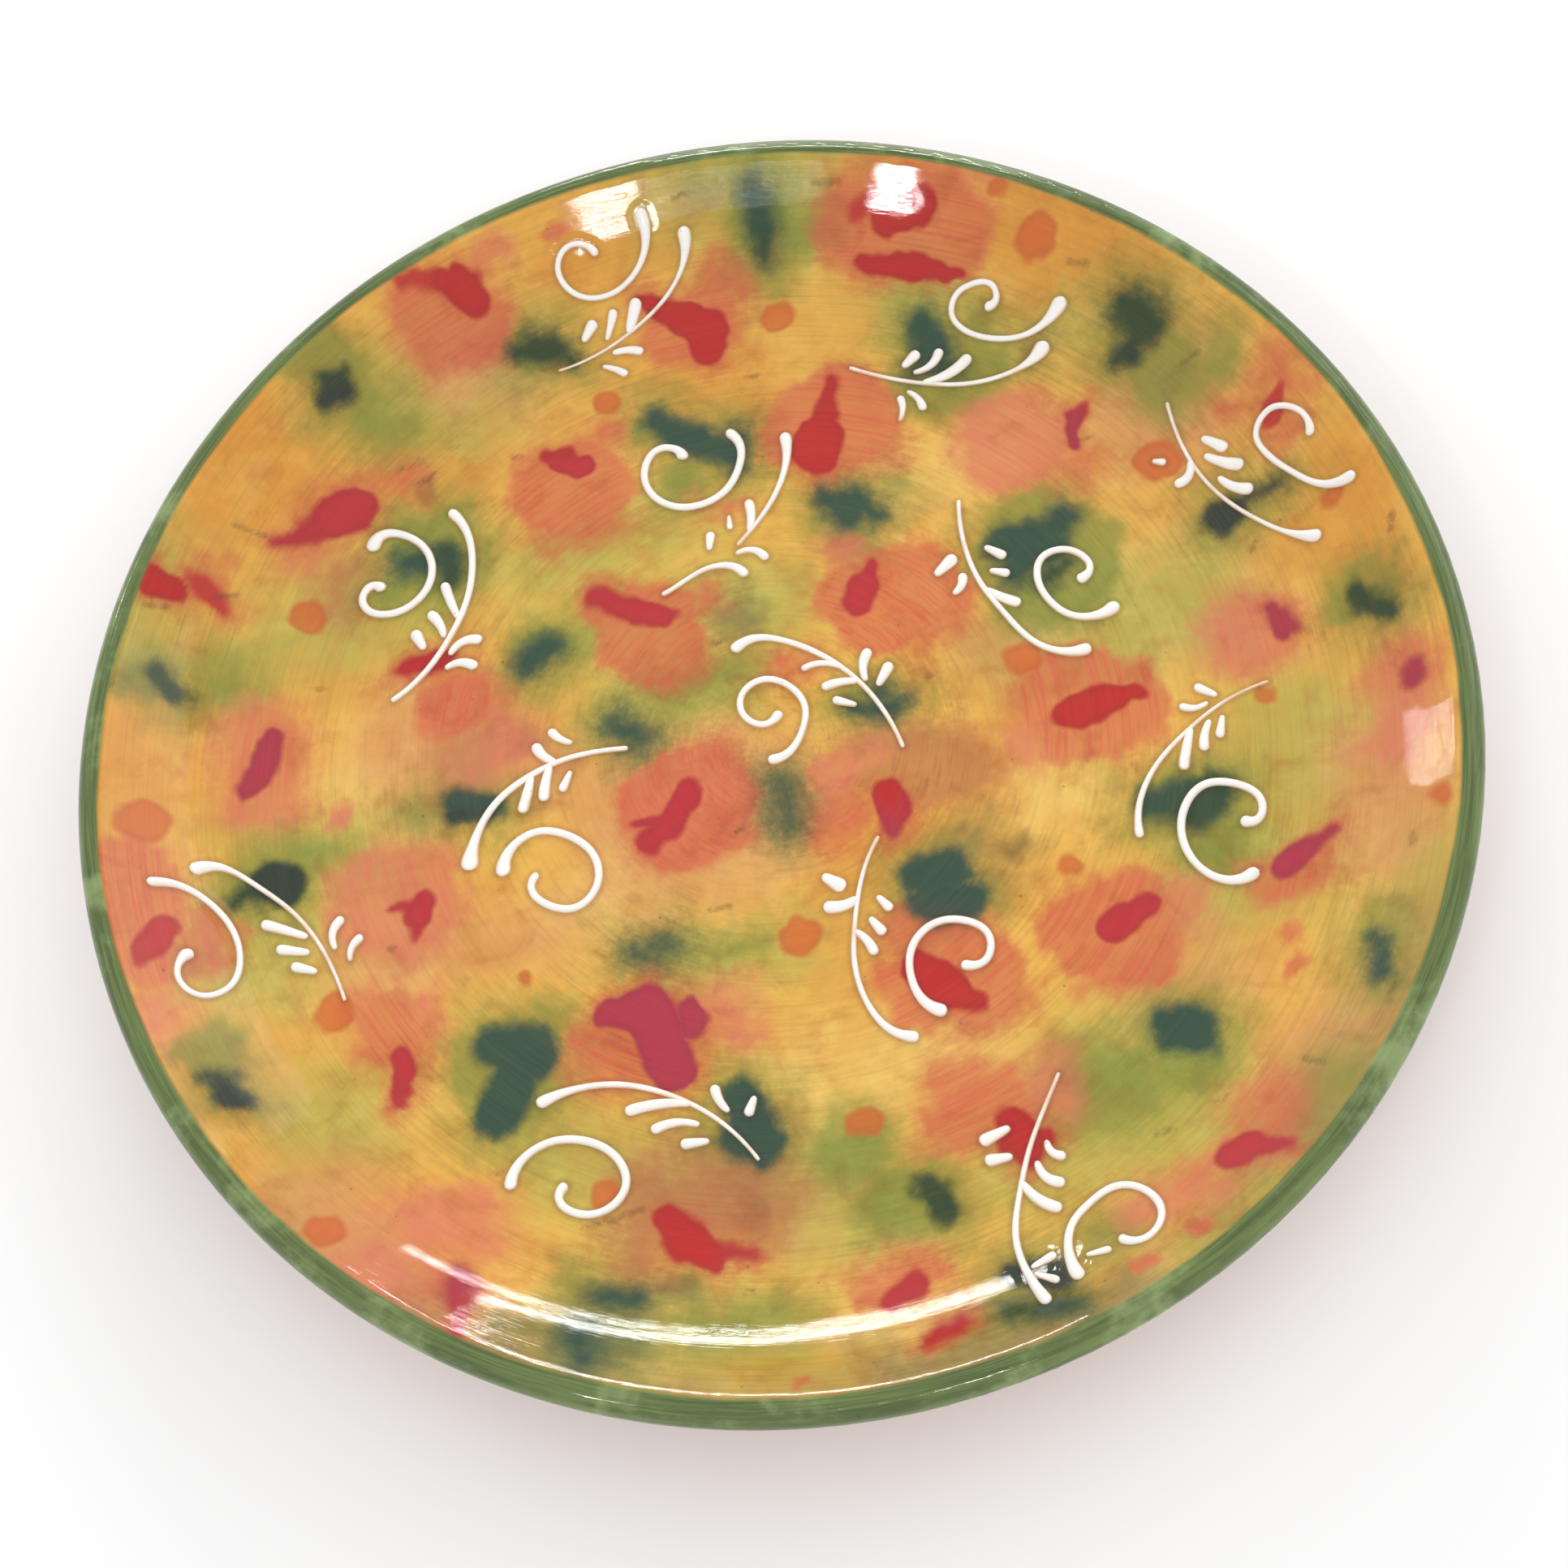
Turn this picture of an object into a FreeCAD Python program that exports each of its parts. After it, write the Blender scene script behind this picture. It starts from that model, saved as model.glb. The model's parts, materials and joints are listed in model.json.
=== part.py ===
"""Hand painted ceramic plate: a shallow terracotta platter with its glazes and raised slip scrolls.

Frame: +Z up, origin in the middle of the face that the foot ring rests on, lengths in millimetres.
The turned pieces are sketches revolved about Z. The slip strokes are domed beads laid on the dish.
"""
import FreeCAD, Part
import Sketcher
import math
import os

V = FreeCAD.Vector

# Driving dimensions: name, value, meaning. Lengths in mm, angles in degrees.
DIMENSIONS = (
    ("plate_diameter", 320.0, "across the lip, over the glaze"),
    ("plate_height", 34.0, "from the table to the top of the lip"),
    ("clay_thickness", 6.8, "clay wall and floor"),
    ("glaze_thickness", 0.6, "every glaze coat"),
    ("cove_radius", 60.0, "bend between the flat well and the wall, at the glazed face"),
    ("wall_slope", 40.0, "wall above the horizontal"),
    ("foot_height", 4.8, "from the table to the underside of the clay floor"),
    ("foot_diameter", 192.0, "outside of the foot ring"),
    ("foot_width", 8.0, "foot ring, inside to outside"),
    ("foot_edge", 1.2, "rounding of the foot's two bottom edges"),
    ("foot_bare", 1.8, "height of the unglazed strip at the bottom of the foot"),
    ("band_start", 100.0, "where the rim glaze starts on the lip, degrees above the outward level"),
    ("band_end", 38.0, "where the rim glaze ends under the lip, degrees below the outward level"),
    ("slip_height", 0.9, "how far a slip stroke stands above the face"),
)

# The radius of painted face that the stroke positions below are written for.
PATTERN_RADIUS = 155.3

# Slip strokes. A route starts at its thick end and runs through the points (x, y).
# curl: thick end, line and eye widths; stem: head, middle and tip widths; leaf: width, then its route.
# A joined leaf runs into its stem; the others stand free.
SCROLLS = (
    dict(
        curl=(3.8, 1.7, 2.4),
        curl_route=((-3.9, 146.4), (-4.0, 140.6), (-9.4, 133.9), (-17.8, 130.8), (-25.2, 133.2),
                    (-27.3, 138.2), (-24.4, 142.2), (-19.2, 142.4), (-17.3, 140.4)),
        stem=(3.8, 1.5, 0.7),
        stem_route=((6.0, 141.2), (4.8, 135.6), (-0.8, 128.7), (-10.0, 122.4), (-20.1, 117.6),
                    (-32.5, 114.6)),
        joined=((3.0, (-9.6, 128.2), (-11.2, 124.8), (-13.4, 121.0)),),
        leaves=((3.0, (-21.6, 124.9), (-24.5, 121.4)),
                (2.3, (-15.9, 126.8), (-17.2, 123.8), (-18.8, 120.6)),
                (2.5, (-11.2, 115.2), (-14.0, 116.3), (-17.6, 116.3)),
                (2.1, (-16.2, 109.9), (-18.4, 111.8), (-21.0, 113.1))),
    ),
    dict(
        curl=(4.4, 1.7, 3.0),
        curl_route=((93.8, 97.9), (90.0, 94.9), (84.0, 93.4), (76.5, 95.0), (70.3, 99.0),
                    (67.7, 104.4), (69.9, 108.7), (74.3, 109.8), (78.8, 108.0), (79.4, 104.9),
                    (76.7, 103.7)),
        stem=(4.4, 1.5, 1.1),
        stem_route=((87.3, 89.3), (82.9, 86.2), (76.8, 84.9), (68.0, 84.9), (57.9, 87.4),
                    (48.2, 91.8), (39.7, 97.1)),
        joined=((2.8, (68.8, 92.2), (63.6, 89.2), (56.4, 88.6)),),
        leaves=((3.0, (56.6, 96.7), (53.2, 94.3)),
                (2.4, (62.2, 96.0), (59.4, 92.6), (55.4, 91.8)),
                (2.0, (49.8, 85.2), (49.9, 82.4), (48.5, 79.2)),
                (2.2, (54.6, 80.7), (54.2, 83.8), (52.3, 86.2))),
    ),
    dict(
        curl=(3.0, 1.7, 2.6),
        curl_route=((145.6, 27.3), (140.6, 28.3), (134.8, 34.9), (130.3, 42.8), (129.7, 48.4),
                    (133.4, 51.6), (137.9, 49.4), (140.2, 45.6), (140.0, 41.6)),
        stem=(3.5, 1.3, 1.0),
        stem_route=((135.7, 18.0), (131.6, 20.4), (125.2, 27.0), (119.2, 35.3), (115.0, 44.4),
                    (113.0, 53.0), (112.4, 64.2)),
        joined=((2.4, (109.4, 43.6), (112.2, 44.3), (114.3, 48.6)),),
        leaves=((3.1, (122.0, 48.1), (120.2, 50.2), (118.4, 52.0)),
                (3.2, (124.4, 42.6), (121.2, 44.6), (118.0, 47.6)),
                (3.0, (125.0, 36.0), (121.8, 37.8), (119.5, 41.0)),
                (2.1, (107.9, 50.0), (105.8, 51.0))),
    ),
    dict(
        curl=(2.8, 2.0, 3.2),
        curl_route=((6.0, 86.0), (8.2, 81.4), (6.4, 75.2), (1.6, 69.6), (-6.2, 67.5),
                    (-12.8, 69.8), (-16.6, 75.6), (-16.0, 81.9), (-11.8, 85.9), (-7.6, 84.7),
                    (-6.7, 82.2)),
        stem=(3.2, 2.2, 1.0),
        stem_route=((19.5, 81.6), (18.8, 75.6), (15.4, 68.0), (9.3, 60.4), (2.2, 54.2)),
        tail=(2.8, 1.7, 1.3),
        tail_route=((2.0, 45.6), (0.0, 48.4), (-5.0, 49.6), (-11.6, 47.8), (-18.2, 45.2)),
        joined=((2.4, (7.0, 65.2), (7.0, 61.6), (5.4, 57.0)),),
        leaves=((1.6, (1.2, 59.2), (1.6, 62.4)),
                (2.4, (-3.8, 58.6), (-4.8, 55.0)),
                (2.2, (8.0, 48.8), (6.0, 51.5), (1.8, 51.7))),
    ),
    dict(
        curl=(3.8, 2.1, 3.2),
        curl_route=((-86.0, 75.4), (-82.7, 78.8), (-76.8, 76.4), (-73.0, 70.4), (-73.4, 63.8),
                    (-78.0, 58.2), (-84.2, 56.4), (-89.8, 58.6), (-90.9, 62.2), (-88.2, 65.2),
                    (-86.2, 63.8)),
        stem=(2.9, 2.1, 1.5),
        stem_route=((-65.8, 80.8), (-62.7, 74.0), (-62.8, 65.0), (-66.0, 54.6), (-71.6, 45.8),
                    (-79.2, 37.8), (-87.3, 32.9)),
        joined=((2.4, (-70.3, 61.0), (-69.6, 56.4), (-68.2, 50.6)),),
        leaves=((2.8, (-74.9, 53.6), (-73.2, 50.8), (-72.7, 47.4)),
                (3.1, (-79.3, 49.4), (-78.0, 45.4)),
                (2.6, (-64.2, 43.8), (-67.8, 44.5), (-71.3, 42.0)),
                (2.6, (-66.5, 37.0), (-69.0, 38.8), (-72.8, 38.2))),
    ),
    dict(
        curl=(3.6, 1.9, 3.0),
        curl_route=((86.4, 15.7), (81.4, 14.0), (76.0, 15.6), (71.9, 20.8), (70.7, 27.2),
                    (73.0, 32.3), (77.4, 33.5), (81.8, 31.4), (83.6, 28.0), (80.3, 24.9)),
        stem=(3.4, 1.9, 1.2),
        stem_route=((77.4, 6.3), (72.2, 6.5), (66.6, 10.0), (61.2, 19.0), (57.0, 30.0),
                    (55.8, 41.0), (57.3, 52.6)),
        joined=((2.6, (64.6, 22.0), (61.8, 23.8), (58.6, 27.8)),),
        leaves=((2.6, (64.2, 35.2), (60.9, 38.2)),
                (2.3, (64.0, 30.3), (60.6, 31.8)),
                (3.2, (52.2, 37.4), (47.8, 34.4)),
                (2.4, (53.2, 32.2), (52.8, 30.2), (50.6, 28.4))),
    ),
    dict(
        curl=(2.7, 1.8, 2.9),
        curl_route=((-1.2, -4.1), (3.0, -3.6), (7.4, 1.2), (9.3, 7.6), (6.8, 13.4), (0.8, 16.6),
                    (-4.4, 14.2), (-5.5, 9.2), (-2.4, 5.4), (2.5, 7.2)),
        stem=(3.1, 1.9, 1.1),
        stem_route=((-3.8, 26.0), (1.2, 27.9), (8.6, 25.2), (17.0, 18.6), (23.4, 10.2),
                    (27.4, 1.2), (29.5, -8.4)),
        joined=((1.6, (10.9, 17.0), (14.8, 17.6), (20.6, 14.4)),
                (2.3, (14.8, 11.0), (18.6, 11.5), (22.8, 10.5))),
        leaves=((2.2, (16.6, 7.2), (20.8, 5.0)),
                (2.6, (27.0, 17.7), (25.0, 14.6), (24.9, 11.0)),
                (2.8, (31.0, 13.0), (27.7, 9.0))),
    ),
    dict(
        curl=(3.3, 2.0, 3.2),
        curl_route=((99.4, -57.4), (93.6, -58.2), (88.9, -54.8), (86.2, -47.2), (88.0, -39.8),
                    (94.4, -34.3), (101.6, -35.8), (105.8, -40.8), (104.6, -45.0), (101.0, -44.7)),
        stem=(2.2, 1.7, 0.7),
        stem_route=((77.2, -43.0), (79.6, -34.2), (85.4, -26.8), (93.6, -20.7), (104.3, -15.2),
                    (115.6, -12.8)),
        joined=((2.5, (91.2, -29.0), (93.0, -24.6), (95.6, -19.8)),),
        leaves=((2.0, (94.8, -13.8), (97.2, -15.0), (100.4, -14.4)),
                (2.4, (99.5, -10.0), (103.0, -12.8)),
                (2.5, (97.1, -25.5), (97.9, -22.4), (99.8, -19.4)),
                (2.2, (101.3, -23.2), (103.1, -18.9))),
    ),
    dict(
        curl=(3.8, 2.0, 1.9),
        curl_route=((-67.2, -17.6), (-64.6, -11.9), (-58.4, -9.4), (-51.6, -11.8), (-46.6, -17.4),
                    (-46.4, -25.2), (-51.8, -30.0), (-58.4, -28.2), (-61.8, -23.4), (-60.0, -20.2)),
        stem=(4.6, 2.2, 1.3),
        stem_route=((-75.0, -14.0), (-72.6, -7.4), (-66.4, 0.4), (-57.6, 5.2), (-49.0, 7.4),
                    (-41.4, 7.6), (-34.0, 6.7)),
        joined=((2.6, (-54.9, 12.4), (-54.0, 9.8), (-51.0, 7.9)),
                (2.6, (-60.8, -3.2), (-59.2, 0.4), (-57.0, 4.6)),
                (2.6, (-55.3, -1.4), (-54.6, 1.6), (-52.2, 5.8))),
        leaves=((2.3, (-50.8, 15.4), (-49.4, 13.2), (-46.9, 11.6)),
                (2.2, (-50.7, -0.2), (-48.3, 3.6))),
    ),
    dict(
        curl=(2.6, 1.7, 3.6),
        curl_route=((-145.6, -7.2), (-140.4, -7.6), (-134.6, -12.2), (-130.6, -19.0), (-129.5, -27.2),
                    (-132.4, -34.2), (-137.6, -35.9), (-141.4, -32.2), (-141.4, -27.8),
                    (-139.4, -25.4)),
        stem=(3.8, 1.6, 0.9),
        stem_route=((-136.8, -3.7), (-132.2, -3.0), (-124.8, -8.2), (-117.8, -15.6), (-112.6, -24.4),
                    (-109.6, -33.0), (-108.0, -40.2)),
        leaves=((2.8, (-123.7, -18.6), (-119.8, -20.4), (-115.2, -22.8)),
                (2.7, (-121.0, -25.3), (-115.2, -26.9)),
                (2.7, (-118.2, -30.1), (-114.0, -31.9)),
                (2.3, (-106.4, -20.4), (-108.6, -22.6), (-108.6, -26.8)),
                (2.2, (-102.5, -25.9), (-104.8, -27.6), (-105.5, -30.4))),
    ),
    dict(
        curl=(3.3, 1.9, 2.7),
        curl_route=((24.2, -73.2), (20.4, -70.2), (18.9, -63.4), (21.0, -56.8), (26.8, -52.9),
                    (33.2, -53.6), (38.0, -58.2), (37.2, -62.8), (31.2, -63.6)),
        stem=(3.0, 1.8, 1.0),
        stem_route=((16.8, -77.7), (11.8, -75.2), (8.0, -67.8), (7.2, -58.4), (9.6, -47.8),
                    (13.4, -37.8), (19.0, -29.4)),
        joined=((2.3, (12.0, -56.6), (11.2, -53.6), (9.4, -50.6)),
                (2.9, (4.0, -43.2), (6.8, -44.0), (11.2, -42.8))),
        leaves=((3.6, (8.2, -39.2), (5.2, -36.4)),
                (2.4, (17.8, -47.0), (16.0, -44.0)),
                (2.6, (15.0, -52.2), (13.2, -48.8))),
    ),
    dict(
        curl=(2.9, 2.0, 2.7),
        curl_route=((-76.8, -91.7), (-74.4, -86.6), (-67.4, -83.4), (-59.4, -84.8), (-53.4, -89.8),
                    (-52.2, -96.4), (-56.6, -100.9), (-63.2, -100.9), (-67.0, -97.2),
                    (-65.3, -94.2)),
        stem=(3.0, 1.9, 0.9),
        stem_route=((-67.8, -74.2), (-59.6, -72.7), (-49.4, -74.0), (-38.8, -79.0), (-30.2, -86.2),
                    (-25.6, -92.2), (-22.8, -97.4)),
        joined=((2.5, (-48.9, -80.4), (-42.6, -80.2), (-35.2, -82.2)),),
        leaves=((2.4, (-44.0, -85.9), (-39.4, -85.2), (-34.6, -86.7)),
                (2.5, (-38.2, -90.4), (-33.2, -90.9)),
                (2.4, (-29.0, -79.4), (-28.8, -82.0), (-27.3, -84.8)),
                (2.4, (-22.9, -86.8), (-21.1, -83.8))),
    ),
    dict(
        curl=(3.2, 1.9, 2.6),
        curl_route=((37.9, -139.4), (37.2, -133.4), (39.4, -127.6), (44.8, -123.4), (51.2, -121.4),
                    (56.4, -124.4), (57.8, -130.0), (54.2, -134.6), (48.6, -133.4)),
        stem=(2.9, 2.0, 0.9),
        stem_route=((30.0, -143.2), (27.9, -136.6), (27.4, -127.4), (30.4, -118.2), (34.8, -108.8),
                    (39.8, -101.0), (45.4, -93.2)),
        joined=((2.7, (37.9, -122.8), (34.4, -120.2), (32.4, -115.4)),),
        leaves=((2.9, (25.8, -104.3), (31.4, -102.8)),
                (2.9, (25.9, -108.8), (30.4, -109.0)),
                (2.3, (41.8, -111.4), (39.8, -110.4), (39.3, -107.8)),
                (2.6, (40.0, -117.2), (37.2, -115.6), (36.2, -112.0)),
                (2.2, (34.0, -133.4), (29.4, -134.8)),
                (2.0, (33.2, -139.2), (29.6, -136.8)),
                (1.9, (45.2, -135.4), (40.9, -135.3))),
    ),
)


class Size:
    """A size as text for a sheet expression, with the number that the text comes to."""

    def __init__(self, text, number):
        self.text = str(text)
        self.number = float(number)

    def _with(self, sign, other, number):
        return Size("(%s %s %s)" % (self.text, sign, other.text), number)

    def __add__(self, other):
        return self._with("+", other, self.number + other.number)

    def __sub__(self, other):
        return self._with("-", other, self.number - other.number)

    def __mul__(self, other):
        return self._with("*", other, self.number * other.number)

    def __truediv__(self, other):
        return self._with("/", other, self.number / other.number)

    def sine(self):
        return Size("sin(%s * 1 deg)" % self.text, math.sin(math.radians(self.number)))

    def cosine(self):
        return Size("cos(%s * 1 deg)" % self.text, math.cos(math.radians(self.number)))

    def root(self):
        return Size("sqrt(%s)" % self.text, math.sqrt(self.number))


def make_sheet(document):
    """Write the driving dimensions to a spreadsheet and return it."""
    sheet = document.addObject("Spreadsheet::Sheet", "sizes")
    for row, (alias, value, meaning) in enumerate(DIMENSIONS, start=1):
        sheet.set("A%d" % row, alias.replace("_", " "))
        sheet.set("B%d" % row, repr(value))
        sheet.set("C%d" % row, meaning)
        sheet.setAlias("B%d" % row, alias)
    document.recompute()
    return sheet


class Plate:
    """The plate's profile, worked out from the sheet. Offsets run down from the glazed face."""

    def __init__(self, sheet):
        size = {alias: Size("sizes." + alias, sheet.get(alias)) for alias, _, _ in DIMENSIONS}
        half = Size(2, 2)
        self.none = Size(0, 0)
        self.sine = size["wall_slope"].sine()
        self.cosine = size["wall_slope"].cosine()
        self.clay = size["clay_thickness"]
        self.glaze = size["glaze_thickness"]
        self.cove = size["cove_radius"]
        self.foot_height = size["foot_height"]
        self.foot_outer = size["foot_diameter"] / half
        self.foot_inner = self.foot_outer - size["foot_width"]
        self.foot_edge = size["foot_edge"]
        self.foot_bare = size["foot_bare"]
        self.band_start = size["band_start"]
        self.band_end = size["band_end"]
        self.floor = self.foot_height + self.clay + self.glaze
        self.lip = self.clay / half + self.glaze
        self.lip_across = size["plate_diameter"] / half - self.lip
        self.lip_up = size["plate_height"] - self.lip
        self.cove_up = self.floor + self.cove
        reach = self.lip + self.cove
        rise = self.lip_up - self.cove_up + reach * self.cosine
        self.well = self.lip_across - reach * self.sine - rise * self.cosine / self.sine

    def on_axis(self, offset):
        return (self.none, self.floor - offset)

    def well_edge(self, offset):
        return (self.well, self.floor - offset)

    def cove_end(self, offset):
        radius = self.cove + offset
        return (self.well + radius * self.sine, self.cove_up - radius * self.cosine)

    def below(self, across, offset):
        """The point at a radius, so far below the face, under the well or under the cove."""
        if not self.in_cove(across):
            return (across, self.floor - offset)
        radius, beyond = self.cove + offset, across - self.well
        return (across, self.cove_up - (radius * radius - beyond * beyond).root())

    def in_cove(self, across):
        return across.number > self.well.number

    def lip_tangent(self, offset):
        radius = self.lip - offset
        return (self.lip_across - radius * self.sine, self.lip_up + radius * self.cosine)

    def lip_top(self, offset):
        return (self.lip_across, self.lip_up + self.lip - offset)

    def band_top(self, radius):
        return (self.lip_across + radius * self.band_start.cosine(),
                self.lip_up + radius * self.band_start.sine())

    def band_bottom(self, radius):
        return (self.lip_across + radius * self.band_end.cosine(),
                self.lip_up - radius * self.band_end.sine())

    def face_at(self, x, y):
        """The point of the glazed face over (x, y), and the outward normal there."""
        across = math.hypot(x, y)
        outward = V(x / across, y / across, 0) if across > 1e-6 else V(1, 0, 0)
        beyond = across - self.well.number
        cove = self.cove.number
        if beyond <= 0:
            lean = 0.0
            height = self.floor.number
        elif beyond <= cove * self.sine.number:
            lean = math.asin(beyond / cove)
            height = self.cove_up.number - cove * math.cos(lean)
        else:
            end_across, end_up = self.cove_end(self.none)
            lean = math.asin(self.sine.number)
            height = end_up.number + (across - end_across.number) * math.tan(lean)
        return V(x, y, height), outward * -math.sin(lean) + V(0, 0, math.cos(lean))


def straight(name, corner):
    """A corner of a profile that a straight edge leads to."""
    return (name, corner, None, None)


def round_to(name, corner, radius, centre):
    """A corner of a profile that an arc leads to."""
    return (name, corner, radius, centre)


def cove_round(plate, name, corner, offset):
    """A corner that the cove's arc leads to, so far below the face."""
    return round_to(name, corner, plate.cove + offset, (plate.well, plate.cove_up))


def middle_to_foot(plate, name, across, offset):
    """Corners from the axis out to the foot's radius, round the cove where the foot is under it."""
    corner = plate.below(across, offset)
    if plate.in_cove(across):
        return (straight(name + "_bend", plate.well_edge(offset)), cove_round(plate, name, corner, offset))
    return (straight(name, corner),)


def foot_to_middle(plate, name, across, offset):
    """Corners from the foot's radius in to the axis."""
    bend = (cove_round(plate, name + "_bend", plate.well_edge(offset), offset),)
    return (bend if plate.in_cove(across) else ()) + (straight(name, plate.on_axis(offset)),)


def wall_to_foot(plate, name, across, offset):
    """Corners from the wall's foot down the cove and in to the foot's radius."""
    corner = plate.below(across, offset)
    if plate.in_cove(across):
        return (cove_round(plate, name, corner, offset),)
    return (cove_round(plate, name + "_bend", plate.well_edge(offset), offset), straight(name, corner))


def foot_to_wall(plate, name, across, offset):
    """Corners from the foot's radius out and up the cove to the wall's foot."""
    bend = (straight(name + "_bend", plate.well_edge(offset)),)
    return (() if plate.in_cove(across) else bend) + (
        cove_round(plate, name, plate.cove_end(offset), offset),)


def angle_from(centre, corner):
    return math.atan2(corner[1].number - centre[1].number, corner[0].number - centre[0].number)


def bind(sketch, constraint, name, size):
    """Add a dimension to the sketch under a name and tie it to the sheet."""
    index = sketch.addConstraint(constraint)
    sketch.renameConstraint(index, name)
    sketch.setExpression("Constraints." + name, size.text)


def turned_piece(document, label, corners):
    """A PartDesign body: the closed profile through the corners, turned once about Z."""
    body = document.addObject("PartDesign::Body", label)
    body.Label = label
    sketch = body.newObject("Sketcher::SketchObject", label + "_profile")
    plane = [item for item in body.Origin.OriginFeatures if item.Role == "XZ_Plane"][0]
    sketch.AttachmentSupport = (plane, "")
    sketch.MapMode = "FlatFace"
    ends = []
    for index, (_, corner, radius, centre) in enumerate(corners):
        before = corners[index - 1][1]
        if radius is None:
            start = V(before[0].number, before[1].number, 0)
            edge = Part.LineSegment(start, V(corner[0].number, corner[1].number, 0))
            clockwise = False
        else:
            first, last = angle_from(centre, before), angle_from(centre, corner)
            clockwise = (last - first) % (2 * math.pi) > math.pi
            if clockwise:
                first, last = last, first
            circle = Part.Circle(V(centre[0].number, centre[1].number, 0), V(0, 0, 1), radius.number)
            edge = Part.ArcOfCircle(circle, first, last)
        sketch.addGeometry(edge, False)
        ends.append((2, 1) if clockwise else (1, 2))
    for index, (name, corner, radius, _) in enumerate(corners):
        after = (index + 1) % len(corners)
        sketch.addConstraint(Sketcher.Constraint(
            "Coincident", index, ends[index][1], after, ends[after][0]))
        place_corner(sketch, index, ends[index][1], name, corner)
        if radius is not None:
            bind(sketch, Sketcher.Constraint("Radius", index, radius.number), name + "_round", radius)
    turn = body.newObject("PartDesign::Revolution", label + "_turn")
    turn.Profile = sketch
    turn.ReferenceAxis = (sketch, ["V_Axis"])
    turn.Angle = 360.0
    body.Tip = turn
    return body


def place_corner(sketch, edge, end, name, corner):
    """Fix one corner of a profile by its two distances, or on an axis where a distance is nothing."""
    across, up = corner
    if across.number == 0:
        sketch.addConstraint(Sketcher.Constraint("PointOnObject", edge, end, -2))
    else:
        bind(sketch, Sketcher.Constraint("DistanceX", edge, end, across.number), name + "_across", across)
    if up.number == 0:
        sketch.addConstraint(Sketcher.Constraint("PointOnObject", edge, end, -1))
    else:
        bind(sketch, Sketcher.Constraint("DistanceY", edge, end, up.number), name + "_up", up)


def clay_body(document, plate):
    """The thrown clay: flat well, cove, sloping wall, full round lip and a turned foot ring."""
    top, under = plate.glaze, plate.glaze + plate.clay
    lip_centre = (plate.lip_across, plate.lip_up)
    cove_centre = (plate.well, plate.cove_up)
    edge = plate.foot_edge
    outer, inner = plate.foot_outer, plate.foot_inner
    return turned_piece(document, "clay_body", (
        straight("floor_middle", plate.on_axis(top)),
        straight("well_edge", plate.well_edge(top)),
        round_to("wall_start", plate.cove_end(top), plate.cove + top, cove_centre),
        straight("wall_end", plate.lip_tangent(top)),
        round_to("lip_top", plate.lip_top(top), plate.lip - top, lip_centre),
        round_to("lip_under", plate.lip_tangent(under), plate.lip - top, lip_centre),
        straight("back_wall_end", plate.cove_end(under)),
        *wall_to_foot(plate, "foot_root", outer, under),
        straight("foot_side", (outer, edge)),
        round_to("foot_bottom", (outer - edge, plate.none), edge, (outer - edge, edge)),
        straight("foot_bottom_inner", (inner + edge, plate.none)),
        round_to("foot_side_inner", (inner, edge), edge, (inner + edge, edge)),
        straight("foot_root_inner", plate.below(inner, under)),
        *foot_to_middle(plate, "back_middle", inner, under),
    ))


def face_glaze(document, plate):
    """The clear glaze with the painting under it, over the well, the wall and the lip's shoulder."""
    lip_centre = (plate.lip_across, plate.lip_up)
    cove_centre = (plate.well, plate.cove_up)
    under = plate.glaze
    return turned_piece(document, "face_glaze", (
        straight("middle", plate.on_axis(plate.none)),
        straight("well_edge", plate.well_edge(plate.none)),
        round_to("wall_start", plate.cove_end(plate.none), plate.cove, cove_centre),
        straight("wall_end", plate.lip_tangent(plate.none)),
        round_to("shoulder", plate.band_top(plate.lip), plate.lip, lip_centre),
        straight("shoulder_under", plate.band_top(plate.lip - under)),
        round_to("wall_end_under", plate.lip_tangent(under), plate.lip - under, lip_centre),
        straight("wall_start_under", plate.cove_end(under)),
        round_to("well_edge_under", plate.well_edge(under), plate.cove + under, cove_centre),
        straight("middle_under", plate.on_axis(under)),
    ))


def rim_glaze(document, plate):
    """The green band around the lip."""
    centre = (plate.lip_across, plate.lip_up)
    inside = plate.lip - plate.glaze
    return turned_piece(document, "rim_glaze", (
        straight("top", plate.band_top(plate.lip)),
        round_to("crown", plate.lip_top(plate.none), plate.lip, centre),
        round_to("bottom", plate.band_bottom(plate.lip), plate.lip, centre),
        straight("bottom_inside", plate.band_bottom(inside)),
        round_to("crown_inside", plate.lip_top(plate.glaze), inside, centre),
        round_to("top_inside", plate.band_top(inside), inside, centre),
    ))


def back_glaze(document, plate):
    """The honey glaze from under the lip down to the bare strip of the foot."""
    lip_centre = (plate.lip_across, plate.lip_up)
    clay = plate.glaze + plate.clay
    skin = clay + plate.glaze
    inside = plate.lip - plate.glaze
    foot_skin = plate.foot_outer + plate.glaze
    return turned_piece(document, "back_glaze", (
        straight("rim_join", plate.band_bottom(plate.lip)),
        round_to("lip_under", plate.lip_tangent(skin), plate.lip, lip_centre),
        straight("wall_end", plate.cove_end(skin)),
        *wall_to_foot(plate, "foot_root", foot_skin, skin),
        straight("foot_hem", (foot_skin, plate.foot_bare)),
        straight("foot_hem_inside", (plate.foot_outer, plate.foot_bare)),
        straight("foot_root_inside", plate.below(plate.foot_outer, clay)),
        *foot_to_wall(plate, "wall_end_inside", plate.foot_outer, clay),
        straight("lip_under_inside", plate.lip_tangent(clay)),
        round_to("rim_join_inside", plate.band_bottom(inside), inside, lip_centre),
    ))


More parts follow.
